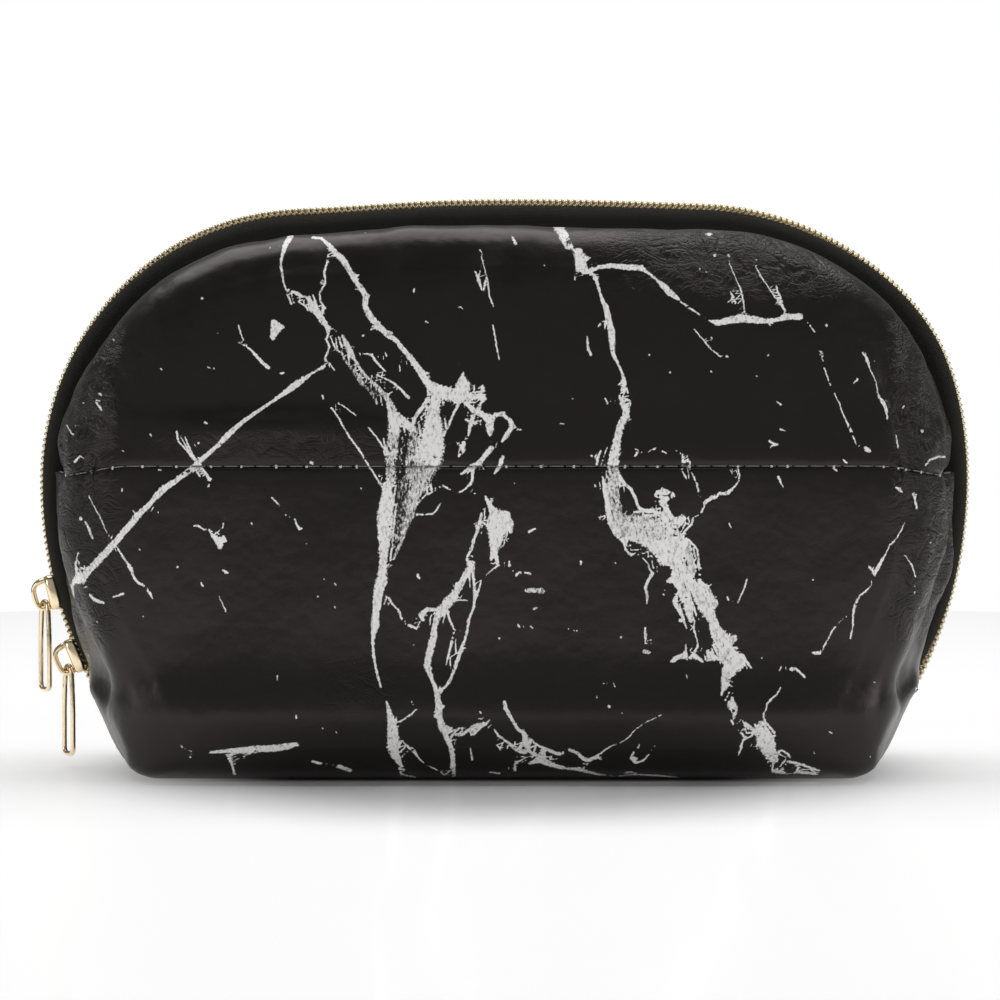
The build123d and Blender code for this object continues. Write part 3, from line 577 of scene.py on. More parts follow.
    (0, 0, [(31, 99.8, 0.3), (32.3, 99.3, 0.3), (32.5, 98.2, 0.2)]),
    (0, 0, [(58.2, 137.2, 0.3), (58.5, 136.8, 0.25)]),
    (0.2, 0, [(58.5, 135, 0.15), (60, 131, 0.12), (61.3, 127.5, 0.25), (62.2, 122.5, 0.15)]),
    (0, 0, [(58.7, 127.5, 0.15), (59.2, 126, 0.4), (59.8, 124.5, 0.2)]),
    (0.05, 0, [(65.3, 134.5, 0.12), (66.7, 131.5, 0.25), (68.5, 128.5, 0.15), (70.5, 125.7, 0.2),
        (71.8, 124, 0.3), (73, 121.8, 0.2)]),
    (0, 0.3, [(70.5, 129, 0.2), (71.5, 126, 0.4), (72.3, 123.5, 0.25)]),
    (0, 0, [(-7.7, 133, 0.15), (-6.7, 130.5, 0.4), (-5.9, 128, 0.15)]),
    (0.05, 0, [(-6.1, 136.8, 0.12), (-5.3, 134, 0.12), (-4.3, 130, 0.2), (-3.8, 126.5, 0.2),
        (-2.9, 123.7, 0.2)]),
    (0, 0, [(-3.1, 119, 0.15), (-2.3, 114.5, 0.25), (-1.2, 110, 0.12)]),
    (0, 0, [(2, 142, 0.2), (2.8, 140.3, 0.4)]),
    (0, 0.3, [(21.3, 116, 0.15), (21.5, 113, 0.35), (22.3, 111.2, 0.35)]),
    (0, 0, [(25, 119.3, 0.2), (24.5, 118.5, 0.3)]),
    (0, 0, [(26, 99.8, 0.25), (26.6, 98.4, 0.2)]),
    (0, 0, [(24.8, 86.5, 0.2), (24, 84.5, 0.3), (23.8, 83, 0.3)]),
    (0, 0, [(34.6, 86, 0.2), (33.5, 85, 0.25)]),
    (0.6, 0, [(36.5, 85.8, 0.2), (39.3, 87.3, 0.2), (42.2, 85.4, 0.2), (44.7, 86.8, 0.25)]),
    (0, 0, [(45.8, 85.5, 0.2), (46, 83.5, 0.4)]),
    (0, 0, [(47.2, 85.3, 0.2), (46.9, 83.5, 0.25)]),
    (0, 0, [(68.3, 89, 0.3), (69.2, 88.2, 0.4), (70.4, 88, 0.25)]),
    (0, 0, [(70.3, 99.2, 0.12), (71.3, 98.3, 0.25)]),
    (0, 0, [(53, 142.8, 0.5), (54, 142.8, 0.4)]),
    # the wide vein that runs down to the right-hand corner
    (0, 0.5, [(27.9, 83, 1.4), (27.9, 81, 1.3), (27.8, 77.5, 1.5), (28, 74, 1.5), (28.5, 70.5, 1.6),
        (29.5, 68, 1.8), (31, 66.5, 2.4)]),
    (0, 0, [(25.3, 79.7, 0.25), (25.7, 76, 0.35), (26.4, 71.5, 0.45), (27.5, 68, 0.9),
        (28.6, 65.5, 0.7), (30.4, 63.2, 0.4)]),
    (0, 0, [(30.5, 64.5, 0.5), (31, 61.5, 0.3), (32.3, 59.6, 0.3), (33.8, 60, 0.2)]),
    (0, 0, [(29.5, 80, 0.6), (30.5, 78.3, 0.45), (32.7, 76.5, 0.4), (33.8, 74, 0.35),
        (34.6, 71.8, 0.4), (36.5, 71.1, 0.45), (38.6, 71, 0.5), (40.3, 69.6, 0.5),
        (41.5, 67.8, 0.4), (43, 65.8, 0.6), (45.5, 64.6, 0.4), (47.8, 63, 0.3), (49.6, 61.2, 0.25),
        (49.9, 59, 0.25), (49.8, 57, 0.3), (50.4, 56.3, 0.35)]),
    (0, 0.45, [(33, 67.5, 2.4), (35.5, 67, 2.6), (38, 66, 2.8), (40, 64, 2.6)]),
    (0, 0.35, [(32.5, 64.5, 1.2), (36, 63.5, 1.5), (39, 61.5, 1.8)]),
    (0, 0.03, [(39.5, 62, 2.2), (42, 60.8, 3.2), (44.3, 61, 2.8), (46, 62, 1.6)]),
    (0, 0.03, [(41, 58.5, 1.6), (43.5, 58, 1.3), (45, 57.5, 0.9)]),
    (0, 0.45, [(46.5, 61.5, 1.0), (47.8, 59.5, 0.8), (48, 57, 0.7), (48.5, 55.5, 0.9)]),
    (0, 0.05, [(38.9, 74.9, 0.3), (39.5, 76, 0.4), (41.5, 76.3, 0.4), (43.3, 75.4, 0.3),
        (43.7, 74.6, 0.25)]),
    (0, 0.1, [(40.2, 74.5, 0.5), (41.8, 74.2, 0.6)]),
    (0, 0, [(40.7, 73.5, 0.4), (41.8, 71.5, 0.5), (42.9, 69.3, 0.6), (44, 68.3, 0.9),
        (45.2, 68.3, 1.2), (45.8, 69, 0.9)]),
    (0, 0, [(41, 71, 0.4), (41.5, 69, 0.4), (42.2, 67.5, 0.4)]),
    (0, 0, [(45.8, 65, 0.25), (46.8, 66.4, 0.3), (48, 67.3, 0.3), (48.7, 69, 0.25)]),
    (0.1, 0, [(50.5, 70.6, 0.25), (51.3, 72, 0.2), (51.3, 73.2, 0.3), (53, 74.1, 0.5),
        (54.3, 74.5, 0.5)]),
    (0.15, 0, [(54.8, 75.7, 0.25), (57, 75.4, 0.45), (58.5, 76.6, 0.35), (60, 78, 0.15),
        (60.6, 79.5, 0.2), (60, 82, 0.25)]),
    (0.4, 0, [(47.6, 83.9, 0.2), (48.2, 81, 0.2), (49.4, 78, 0.2), (50, 75, 0.2)]),
    (0, 0, [(45.7, 81.5, 0.15), (46.9, 79.2, 0.2)]),
    (0, 0.05, [(45.3, 57, 0.7), (47, 54.5, 1.0), (48.5, 52, 1.5), (50, 50, 1.8), (51.3, 47.5, 1.9),
        (52.5, 45, 1.6), (53.8, 42.5, 1.1), (54.5, 40, 1.5), (55.8, 38, 2.0), (57.5, 37, 1.5),
        (59.2, 38, 0.9)]),
    (0, 0, [(55.5, 38, 1.8), (57, 34.5, 1.9), (58.8, 32.5, 2.4), (59.5, 32, 2.3), (61.3, 33.3, 0.8),
        (62.3, 32.2, 0.4), (63.4, 30.6, 0.25)]),
    (0, 0, [(57.5, 30.5, 1.2), (58.5, 29.2, 0.9)]),
    (0, 0, [(50.3, 53, 0.5), (52.2, 51, 0.6), (53.2, 49, 0.6), (54.5, 47, 0.7)]),
    (0, 0, [(43.7, 55.8, 0.5), (43.6, 53.5, 0.9), (42, 52.8, 0.4)]),
    (0, 0, [(44, 53, 0.9), (45.5, 51, 1.0), (46.7, 48.5, 1.1), (47.5, 45.8, 1.2), (47.9, 43.8, 0.8),
        (47.8, 42.6, 0.3)]),
    (0, 0.1, [(45.3, 56, 0.5), (46, 52.5, 0.5)]),
    (0, 0.1, [(44.3, 49, 0.4), (43.8, 47.5, 0.6), (44.8, 45.3, 0.35), (45.8, 43, 0.2),
        (46.9, 40.8, 0.15)]),
    (0, 0, [(49, 43, 0.2), (48.8, 40.5, 0.25), (49.5, 38, 0.15), (50, 35.8, 0.2),
        (49.1, 35.2, 0.25), (48.9, 33.2, 0.5)]),
    (0, 0.1, [(42.8, 31.9, 0.25), (43.8, 32.9, 0.5), (45.8, 33.5, 0.6), (46.8, 32.8, 0.4)]),
    (0, 0, [(46.7, 36.5, 0.15), (46.8, 34.2, 0.3)]),
    (0, 0, [(49, 33.5, 0.6), (51, 32.1, 0.35)]),
    (0, 0, [(52.2, 34.8, 0.2), (52.6, 32.6, 0.4), (53.6, 33.4, 0.6), (55.3, 32.8, 0.5)]),
    (0, 0, [(53.5, 35.5, 0.25), (53.8, 33.6, 0.4)]),
    (0, 0.35, [(56.8, 29.5, 0.8), (56.4, 26.5, 0.6), (55.9, 23.6, 0.25)]),
    (0, 0.4, [(57.5, 28.5, 0.6), (57.2, 25.5, 0.35)]),
    (0, 0.3, [(58.8, 23, 0.3), (58.4, 21, 1.1), (59.2, 19.8, 0.9), (59.3, 18.3, 0.3)]),
    (0.2, 0, [(58.5, 17, 0.3), (58.8, 16.2, 0.25)]),
    (0, 0.35, [(61.3, 16.9, 0.2), (62.5, 15.6, 0.7), (63.8, 14.8, 0.5)]),
    (0, 0, [(60.8, 14, 0.2), (61.8, 12.7, 0.4), (62.8, 12.6, 0.2)]),
    (0, 0, [(61.2, 11.3, 0.3), (60.9, 9.5, 0.3), (60.5, 7.7, 0.15)]),
    (0, 0.12, [(66.6, 18.5, 0.2), (65.8, 16.8, 0.3), (65.5, 15, 0.9), (66.3, 13, 1.7),
        (67.5, 11, 2.2), (68.3, 9, 1.8), (69.3, 7.5, 1.4), (70.2, 6.3, 0.8)]),
    (0, 0, [(66.8, 18.5, 0.15), (67, 16.5, 0.3), (68.3, 15.3, 0.3), (69.6, 13.6, 0.3)]),
    (0, 0.1, [(69.5, 5.2, 0.2), (69.6, 3, 0.35), (71.5, 3, 0.7), (73, 2.5, 0.3)]),
    (0, 0, [(71.7, 9, 0.25), (73, 8, 0.25), (74, 7, 0.2), (73.2, 5.8, 0.35), (75, 5.7, 0.35),
        (77.5, 4.8, 0.3), (80.5, 3.5, 0.3), (81.8, 3.2, 0.2)]),
    (0, 0.1, [(76.3, 4.3, 0.3), (76, 2.8, 0.4), (78, 2.6, 0.5), (81.5, 2.1, 0.2)]),
    (0, 0, [(60, 47.2, 0.15), (61.5, 50.2, 0.2), (62.6, 53.5, 0.2)]),
    (0, 0.4, [(35.5, 59, 0.15), (37, 57.4, 0.2), (37.4, 55.9, 0.15), (38.2, 54.7, 0.4),
        (37, 53.4, 0.35), (36.3, 51.5, 0.4), (36.6, 49, 0.35), (36.7, 46.7, 0.15)]),
    (0, 0.1, [(36.2, 41, 0.2), (36.3, 39, 0.35), (36.3, 37.2, 0.2)]),
    (0, 0.5, [(36, 34.8, 0.5), (37.2, 34.5, 0.4)]),
    (0.5, 0, [(56.8, 69.8, 0.15), (58.4, 66.7, 0.15)]),
    (0, 0, [(70.5, 79.7, 0.35), (71.8, 76.8, 0.15)]),
    # dotted strands on the right
    (0.1, 0.1, [(93, 112, 0.3), (93.8, 110, 0.45), (94.5, 107.5, 0.15), (96, 104.5, 0.12),
        (96.5, 100.8, 0.2), (97.8, 99, 0.5), (98.6, 97.3, 0.4), (99, 94.5, 0.15)]),
    (0, 0, [(101, 90.8, 0.15), (101.8, 87, 0.2)]),
    (0.35, 0, [(82, 112, 0.2), (82.3, 109.5, 0.2), (83.3, 105.5, 0.15), (84.3, 103, 0.15),
        (86.5, 98.3, 0.15), (87.5, 95.5, 0.15), (89, 92, 0.3), (90, 89.8, 0.25), (90.6, 88, 0.15)]),
    (0, 0, [(93.2, 87, 0.6), (94, 86.6, 0.5)]),
    (0, 0, [(87.4, 84, 0.2), (88.2, 83.3, 0.2)]),
    (0, 0, [(90.2, 103.8, 0.2), (91.2, 104.8, 0.25)]),
    (0.1, 0.1, [(103.5, 68, 0.12), (101, 63.5, 0.2), (99.3, 62, 0.2), (98.5, 60, 0.15),
        (97.5, 58.5, 0.3), (96.5, 56.5, 0.45), (95.3, 54, 0.25)]),
    (0, 0, [(94, 56.5, 0.3), (95, 55.5, 0.4)]),
    (0.2, 0, [(94.5, 51.8, 0.15), (93, 50, 0.25), (91.5, 48.8, 0.15), (90.5, 46.5, 0.4),
        (90, 44.5, 0.2), (89.9, 41, 0.2), (89.4, 38, 0.2)]),
    (0.35, 0, [(87.5, 43.3, 0.15), (84.5, 40, 0.2), (83.3, 37.5, 0.15), (81, 34, 0.3)]),
    (0, 0, [(79.5, 34.4, 0.2), (80.8, 34.3, 0.5), (81.7, 34, 0.25)]),
    (0, 0, [(73.8, 30.2, 0.4), (75, 30.3, 0.35), (76.5, 29, 0.25), (77.6, 27.8, 0.2)]),
    (0.15, 0.1, [(71.2, 25.3, 0.15), (70.2, 24, 0.2), (68.8, 22.7, 0.3), (67.7, 21.5, 0.25),
        (67.2, 19.5, 0.15), (66.5, 18.7, 0.2)]),
    (0, 0, [(103.5, 59.5, 0.12), (105.3, 57, 0.2), (106.5, 53.5, 0.15)]),
    (0, 0.1, [(101, 77, 0.2), (102, 76.3, 0.5), (102.6, 75.8, 0.2)]),
    (0, 0.2, [(105.5, 75.5, 0.3), (106, 73.5, 0.3), (106.5, 71.5, 0.2)]),
    (0, 0, [(109, 82.5, 0.2), (110.5, 84, 0.25), (113, 84.8, 0.3), (116.5, 84.4, 0.2)]),
    (0, 0, [(79, 118.8, 0.25), (80.3, 117, 0.15)]),
]


BLOCK = 4000            # points handled at a time
FLECKS = 130


def vein_strokes(seed, mirrored):
    """Short straight strokes for every vein, plus loose flecks. Each is both ends, both
    half-widths, how broken up and how cloudy."""
    rng = random.Random(seed)
    strokes = []

    def run(points, broken, cloudy):
        pts = [Vector(p) for p in points]
        for k in range(len(pts) - 1):
            before = pts[max(k - 1, 0)]
            after = pts[min(k + 2, len(pts) - 1)]
            length = (pts[k + 1] - pts[k]).length
            steps = max(1, int(length / 1.8))
            last = None
            for i in range(steps + 1):
                t = i / steps
                ma, mb = (pts[k + 1] - before) / 2, (after - pts[k]) / 2
                q = hermite(t, pts[k], pts[k + 1], ma, mb)
                wiggle = noise.noise(Vector((q.x * 0.4, q.y * 0.4, 5.1)))
                wiggle_2 = noise.noise(Vector((q.x * 0.4, q.y * 0.4, 9.7)))
                q = Vector((q.x + 0.25 * wiggle, q.y + 0.25 * wiggle_2, max(q.z, 0.12)))
                if last is not None:
                    strokes.append((last.x, last.y, q.x, q.y, last.z, q.z, broken, cloudy))
                last = q

    for broken, cloudy, points in VEINS:
        if mirrored:
            points = [(-x * 0.93 + 9, z * 0.97 + 2, w) for x, z, w in points]
        run(points, broken, cloudy)
        # short side shoots, as a torn-looking vein has
        for x, z, w in points[1:-1]:
            if w > 0.35 and rng.random() < 0.5:
                turn = rng.uniform(0, 2 * math.pi)
                reach = w + rng.uniform(0.4, 1.8)
                tip = (x + reach * math.cos(turn), z + reach * math.sin(turn), 0.12)
                run([(x, z, 0.25), tip], 0, cloudy)
    for _ in range(FLECKS):
        x = rng.uniform(-112, 112)
        z = rng.uniform(3, 140)
        turn = rng.gauss(-1.0, 0.5)
        reach = abs(rng.gauss(0, 0.5)) + 0.05
        w = abs(rng.gauss(0, 0.1)) + 0.13
        run([(x, z, w), (x + reach * math.cos(turn), z + reach * math.sin(turn), w * 0.7)], 0, 0.2)
    return np.array(strokes)


def store_veins(obj, points, seed, mirrored):
    """Keeps, at each point, the way to the nearest vein and that vein's half-width, so that the
    material can draw an edge much finer than the mesh."""
    strokes = vein_strokes(seed, mirrored)
    low, high = points[:, 2].min() - 6, points[:, 2].max() + 6
    strokes = strokes[(strokes[:, 1] > low) & (strokes[:, 1] < high)]
    a, b = strokes[:, 0:2], strokes[:, 2:4]
    ab = b - a
    size = np.maximum((ab**2).sum(1), 1e-9)
    flat = points[:, [0, 2]]
    offset = np.zeros((len(flat), 2))
    width = np.zeros(len(flat))
    broken = np.zeros(len(flat))
    cloudy = np.zeros(len(flat))
    for start in range(0, len(flat), BLOCK):
        part = slice(start, start + BLOCK)
        block = flat[part]
        rel = block[:, None, :] - a[None]
        t = np.clip((rel * ab[None]).sum(2) / size[None], 0, 1)
        gap = rel - ab[None] * t[..., None]
        half = strokes[:, 4] * (1 - t) + strokes[:, 5] * t
        edge = np.sqrt((gap**2).sum(2)) - half
        best = edge.argmin(1)
        row = np.arange(len(block))
        offset[part] = gap[row, best]
        width[part] = half[row, best]
        broken[part] = strokes[best, 6]
        cloudy[part] = strokes[best, 7]
    store(obj, "vein_way", np.column_stack([offset, width]))
    store(obj, "vein_gap", np.sqrt((offset**2).sum(1)))
    store(obj, "vein_broken", broken)
    store(obj, "vein_cloud", cloudy)


def store_creases(obj, points):
    """How creased the leather is at each point: the flanks and parts of the rolled edge."""
    x, z = points[:, 0], points[:, 2]
    side = np.abs(x)
    flank = smooth_step(side, 97, 106) * smooth_step(z, 30, 44) * (1 - smooth_step(z, 128, 140))
    crest = hump(x, 60, 26) * smooth_step(z, 122, 132)
    above_seam = hump(x, -54, 24) * hump(z, 87.5, 4.0) * 0.8
    faint = 0.25 * hump(x, -36, 12) * hump(z, 25, 7)
    store(obj, "creased", np.clip(np.maximum.reduce([flank, crest, above_seam, faint]), 0, 1))


# ---------------------------------------------------------------- materials
RANGE_KEYS = ("From Min", "From Max", "To Min", "To Max")
SHADER_KEYS = {"color": "Base Color", "rough": "Roughness", "metal": "Metallic", "normal": "Normal"}


class Nodes:
    """Small helper for building a node tree."""

    def __init__(self, name):
        self.material = bpy.data.materials.new(name)
        self.material.use_nodes = True
        self.tree = self.material.node_tree
        self.shader = self.tree.nodes["Principled BSDF"]

    def add(self, kind, **settings):
        node = self.tree.nodes.new(kind)
        for key, value in settings.items():
            setattr(node, key, value)
        return node

    def link(self, source, target):
        self.tree.links.new(source, target)

    def feed(self, socket, value):
        if isinstance(value, bpy.types.NodeSocket):
            self.link(value, socket)
        else:
            socket.default_value = value

    def attribute(self, name, output="Fac"):
        return self.add("ShaderNodeAttribute", attribute_name=name).outputs[output]

    def math(self, operation, *values, clamp=False):
        node = self.add("ShaderNodeMath", operation=operation, use_clamp=clamp)
        for socket, value in zip(node.inputs, values):
            self.feed(socket, value)
        return node.outputs[0]

    def vector(self, operation, *values, scale=None):
        node = self.add("ShaderNodeVectorMath", operation=operation)
        for socket, value in zip(node.inputs, values):
            self.feed(socket, value)
        if scale is not None:
            self.feed(node.inputs["Scale"], scale)
        return node.outputs["Value"] if operation == "LENGTH" else node.outputs["Vector"]

    def scaled(self, vector, factors):
        return self.vector("MULTIPLY", vector, factors)

    def split(self, vector):
        node = self.add("ShaderNodeSeparateXYZ")
        self.link(vector, node.inputs[0])
        return node.outputs

    def noise(self, vector, scale, detail=3.0, rough=0.55, output="Fac", distortion=0.0):
        node = self.add("ShaderNodeTexNoise")
        self.feed(node.inputs["Vector"], vector)
        node.inputs["Scale"].default_value = scale
        node.inputs["Detail"].default_value = detail
        node.inputs["Roughness"].default_value = rough
        node.inputs["Distortion"].default_value = distortion
        return node.outputs[output]

    def cells(self, vector, scale, feature="F1", output="Distance"):
        node = self.add("ShaderNodeTexVoronoi", feature=feature)
        self.feed(node.inputs["Vector"], vector)
        node.inputs["Scale"].default_value = scale
        return node.outputs[output]

    def ramp(self, value, low, high, low_out=0.0, high_out=1.0, smooth=True):
        node = self.add("ShaderNodeMapRange", clamp=True)
        node.interpolation_type = "SMOOTHSTEP" if smooth else "LINEAR"
        self.feed(node.inputs["Value"], value)
        for key, number in zip(RANGE_KEYS, (low, high, low_out, high_out)):
            self.feed(node.inputs[key], number)
        return node.outputs["Result"]

    def mix(self, factor, a, b):
        node = self.add("ShaderNodeMix", data_type="RGBA")
        self.feed(node.inputs["Factor"], factor)
        self.feed(node.inputs[6], a)
        self.feed(node.inputs[7], b)
        return node.outputs[2]

    def bump(self, height, distance, strength=1.0, normal=None):
        node = self.add("ShaderNodeBump")
        node.inputs["Strength"].default_value = strength
        node.inputs["Distance"].default_value = distance
        self.feed(node.inputs["Height"], height)
        if normal is not None:
            self.feed(node.inputs["Normal"], normal)
        return node.outputs["Normal"]

    def finish(self, **inputs):
        for key, value in inputs.items():
            self.feed(self.shader.inputs[SHADER_KEYS[key]], value)
        return self.material


def grey(level, warm=1.0):
    return (level * warm, level, level / warm, 1.0)


def leather_material():
    """Black coated leather: fine grain, creases on the flanks and a printed light grey vein."""
    n = Nodes("marbled_leather")
    rest = n.attribute("rest", "Vector")            # millimetres
    creased = n.attribute("creased")
    warp = n.vector("SUBTRACT", n.noise(rest, 0.07, 2, output="Color"), (0.5, 0.5, 0.5))
    warp = n.vector("SCALE", warp, scale=16.0)
    bent = n.vector("ADD", rest, warp)
    # creases: long fine valleys that run mostly sideways
    fine = n.cells(n.scaled(bent, (0.55, 0.45, 1.0)), 0.85, "DISTANCE_TO_EDGE")
    fine = n.ramp(fine, 0.0, 0.16)
    wide = n.cells(n.scaled(bent, (0.6, 0.5, 1.0)), 0.2, "DISTANCE_TO_EDGE")
    wide = n.ramp(wide, 0.0, 0.11)
    streak = n.noise(n.scaled(bent, (0.35, 0.3, 1.5)), 1.25, 4, 0.65)
    crease = n.math("ADD", n.math("MULTIPLY", fine, 0.35), n.math("MULTIPLY", wide, 0.55))
    crease = n.math("ADD", crease, n.math("MULTIPLY", streak, 0.9))
    crease = n.math("MULTIPLY", crease, creased)
    # fine grain of the coating
    pebble = n.cells(rest, 1.5, "SMOOTH_F1")
    grain = n.math("ADD", n.math("MULTIPLY", pebble, 0.6), n.noise(rest, 2.2, 3))
    soft = n.noise(rest, 0.06, 3)
    normal = n.bump(soft, 0.0016, 0.5)
    normal = n.bump(grain, 0.00005, 0.5, normal)
    normal = n.bump(crease, 0.0005, 0.9, normal)
    # printed veins
    way_x, way_z, half = n.split(n.attribute("vein_way", "Vector"))
    flat = n.add("ShaderNodeCombineXYZ")
    n.link(way_x, flat.inputs[0])
    n.link(way_z, flat.inputs[1])
    jitter = n.vector("SUBTRACT", n.noise(rest, 1.1, 4, 0.65, output="Color"), (0.5, 0.5, 0.5))
    jitter = n.vector("SCALE", n.scaled(jitter, (1, 1, 0)), scale=0.7)
    gap = n.vector("LENGTH", n.vector("ADD", flat.outputs[0], jitter))
    guard = n.math("SUBTRACT", n.attribute("vein_gap"), 0.8)
    gap = n.math("MAXIMUM", gap, guard)
    ragged = n.math("SUBTRACT", n.noise(rest, 1.9, 5, 0.75), 0.5)
    ragged = n.math("MULTIPLY", ragged, n.math("ADD", 0.34, n.math("MULTIPLY", half, 1.3)))
    edge = n.math("SUBTRACT", n.math("SUBTRACT", gap, half), ragged)
    broken = n.attribute("vein_broken")
    dashes = n.math("SUBTRACT", n.noise(rest, 0.5, 2, 0.5), n.math("MULTIPLY", broken, 0.42))
    dashes = n.ramp(dashes, 0.26, 0.32)
    line = n.math("MULTIPLY", n.ramp(edge, 0.08, -0.10), dashes)
    # cloudy stretches let the black through in streaks
    cloud = n.attribute("vein_cloud")
    wisp = n.noise(n.scaled(rest, (1.6, 1.0, 0.75)), 1.0, 5, 0.7, distortion=0.6)
    wisp = n.math("SUBTRACT", wisp, n.math("MULTIPLY", cloud, 0.82))
    line = n.math("MULTIPLY", line, n.ramp(wisp, -0.05, 0.13))
    # loose flecks everywhere
    fleck_size = n.cells(rest, 0.11, "F1", "Color")
    fleck_split = n.add("ShaderNodeSeparateColor")
    n.link(fleck_size, fleck_split.inputs[0])
    fleck = n.cells(n.vector("ADD", rest, jitter), 0.11)
    limit = n.ramp(fleck_split.outputs[0], 0.35, 1.0, -0.01, 0.062, smooth=False)
    fleck = n.ramp(n.math("SUBTRACT", fleck, limit), 0.012, -0.008)
    print_mask = n.math("MAXIMUM", line, fleck)
    mottle = n.noise(n.scaled(rest, (1.2, 1.0, 0.7)), 1.1, 5, 0.7)
    pale = n.math("SUBTRACT", n.ramp(mottle, 0.26, 0.52), n.math("MULTIPLY", cloud, 0.25))
    vein_color = n.mix(pale, grey(0.24, 1.01), grey(0.95, 1.01))
    black = n.mix(n.noise(rest, 0.05, 3), (0.0056, 0.0046, 0.0044, 1), (0.0078, 0.0068, 0.0065, 1))
    color = n.mix(print_mask, black, vein_color)
    rough = n.ramp(n.noise(rest, 0.12, 3), 0.3, 0.7, 0.29, 0.36)
    rough = n.math("ADD", rough, n.math("MULTIPLY", creased, 0.03))
    n.shader.inputs["Specular IOR Level"].default_value = 0.38
    n.shader.inputs["Specular Tint"].default_value = (1.0, 0.88, 0.85, 1.0)
    return n.finish(color=color, rough=rough, normal=normal)


TAPE_RIB = 0.55
TAPE_WEFT = 0.5
LINING_WEAVE = 0.7


def tape_material():
    """Black woven zip tape: herringbone ribs along its length, a fuzzy sheen, and painted shade
    that darkens it towards the leather edge.
    """
    n = Nodes("zip_tape")
    strip = n.attribute("strip", "Vector")          # along, across, 0 in millimetres
    along, across, _ = n.split(strip)
    rib = n.math("SINE", n.math("MULTIPLY", across, 2 * math.pi / TAPE_RIB))
    zig = n.math("ADD", along, n.math("MULTIPLY", n.math("PINGPONG", across, TAPE_RIB), 0.9))
    weft = n.math("SINE", n.math("MULTIPLY", zig, 2 * math.pi / TAPE_WEFT))
    weave = n.math("ADD", n.math("MULTIPLY", rib, 0.4), n.math("MULTIPLY", weft, 0.6))
    weave = n.math("ADD", weave, n.math("MULTIPLY", n.noise(strip, 3.0, 3), 0.9))
    high = n.ramp(weave, -0.4, 1.2)
    # painted shade: the tape runs from its unshaded colour near the coil to a near-black shaded
    # copy (tucked) towards the leather edge, where it goes into the groove
    unshaded_tape = n.mix(high, (0.007, 0.007, 0.006, 1), (0.055, 0.052, 0.042, 1))
    tucked = n.mix(high, (0.0008, 0.0008, 0.0008, 1), (0.003, 0.003, 0.0028, 1))
    color = n.mix(n.ramp(across, 7.5, 14.0), tucked, unshaded_tape)
    normal = n.bump(weave, 0.0001, 0.9)
    n.shader.inputs["Specular IOR Level"].default_value = 0.12
    n.shader.inputs["Sheen Weight"].default_value = 0.02
    n.shader.inputs["Sheen Roughness"].default_value = 0.4
    n.shader.inputs["Sheen Tint"].default_value = (0.75, 0.75, 0.6, 1)
    return n.finish(color=color, rough=n.ramp(high, 0, 1, 0.95, 0.8), normal=normal)


def coil_material():
    """Pale gold coating on the zip's coil."""
    n = Nodes("zip_coil")
    rest = n.attribute("rest", "Vector")
    tone = n.noise(rest, 0.8, 3)
    color = n.mix(tone, (0.60, 0.49, 0.28, 1), (0.82, 0.72, 0.50, 1))
    normal = n.bump(n.noise(rest, 3.0, 3), 0.00004, 0.6)
    rough = n.ramp(tone, 0.3, 0.7, 0.24, 0.36)
    return n.finish(color=color, rough=rough, metal=0.75, normal=normal)


def gold_material():
    """Polished champagne gold plating with faint handling marks."""
    n = Nodes("gold_metal")
    place_at = n.add("ShaderNodeTexCoord").outputs["Object"]
    fine = n.noise(place_at, 900, 3)
    scratch = n.noise(n.scaled(place_at, (600, 2600, 600)), 1.0, 2)
    color = n.mix(fine, (0.84, 0.67, 0.43, 1), (0.94, 0.81, 0.58, 1))
    marks = n.math("ADD", n.math("MULTIPLY", fine, 0.5), n.math("MULTIPLY", scratch, 0.5))
    rough = n.ramp(marks, 0.35, 0.7, 0.14, 0.26)
    normal = n.bump(scratch, 0.00002, 0.4)
    return n.finish(color=color, rough=rough, metal=1.0, normal=normal)


def lining_material():
    """Dark plain-woven lining."""
    n = Nodes("lining_fabric")
    rest = n.attribute("rest", "Vector")
    x, y, z = n.split(rest)
    warp = n.math("SINE", n.math("MULTIPLY", n.math("ADD", x, y), 2 * math.pi / LINING_WEAVE))
    weft = n.math("SINE", n.math("MULTIPLY", z, 2 * math.pi / LINING_WEAVE))
    woven = n.math("MULTIPLY", n.math("MULTIPLY", warp, weft), 0.6)
    weave = n.math("ADD", woven, n.noise(rest, 1.4, 3))
    color = n.mix(n.ramp(weave, 0, 1), (0.018, 0.018, 0.02, 1), (0.05, 0.05, 0.055, 1))
    normal = n.bump(weave, 0.00012, 0.7, n.bump(n.noise(rest, 0.1, 3), 0.0012, 0.5))
    n.shader.inputs["Sheen Weight"].default_value = 0.2
    return n.finish(color=color, rough=n.ramp(weave, 0, 1, 0.85, 0.7), normal=normal)


def thread_material(name, dark, light):
    """Twisted sewing thread."""
    n = Nodes(name)
    place_at = n.add("ShaderNodeTexCoord").outputs["Object"]
    twist = n.add("ShaderNodeTexWave", wave_type="BANDS", bands_direction="DIAGONAL")
    n.link(place_at, twist.inputs["Vector"])
    twist.inputs["Scale"].default_value = 900
    color = n.mix(twist.outputs["Fac"], dark, light)
    rough = n.ramp(twist.outputs["Fac"], 0, 1, 0.75, 0.55)
    return n.finish(color=color, rough=rough, normal=n.bump(twist.outputs["Fac"], 0.0001, 0.6))


LEATHER = leather_material()
TAPE = tape_material()
COIL = coil_material()
GOLD = gold_material()
LINING = lining_material()
THREAD = thread_material("seam_thread", grey(0.07, 1.02), grey(0.24, 1.02))
HOLE = thread_material("needle_fleck", grey(0.35, 1.0), grey(0.75, 1.0))


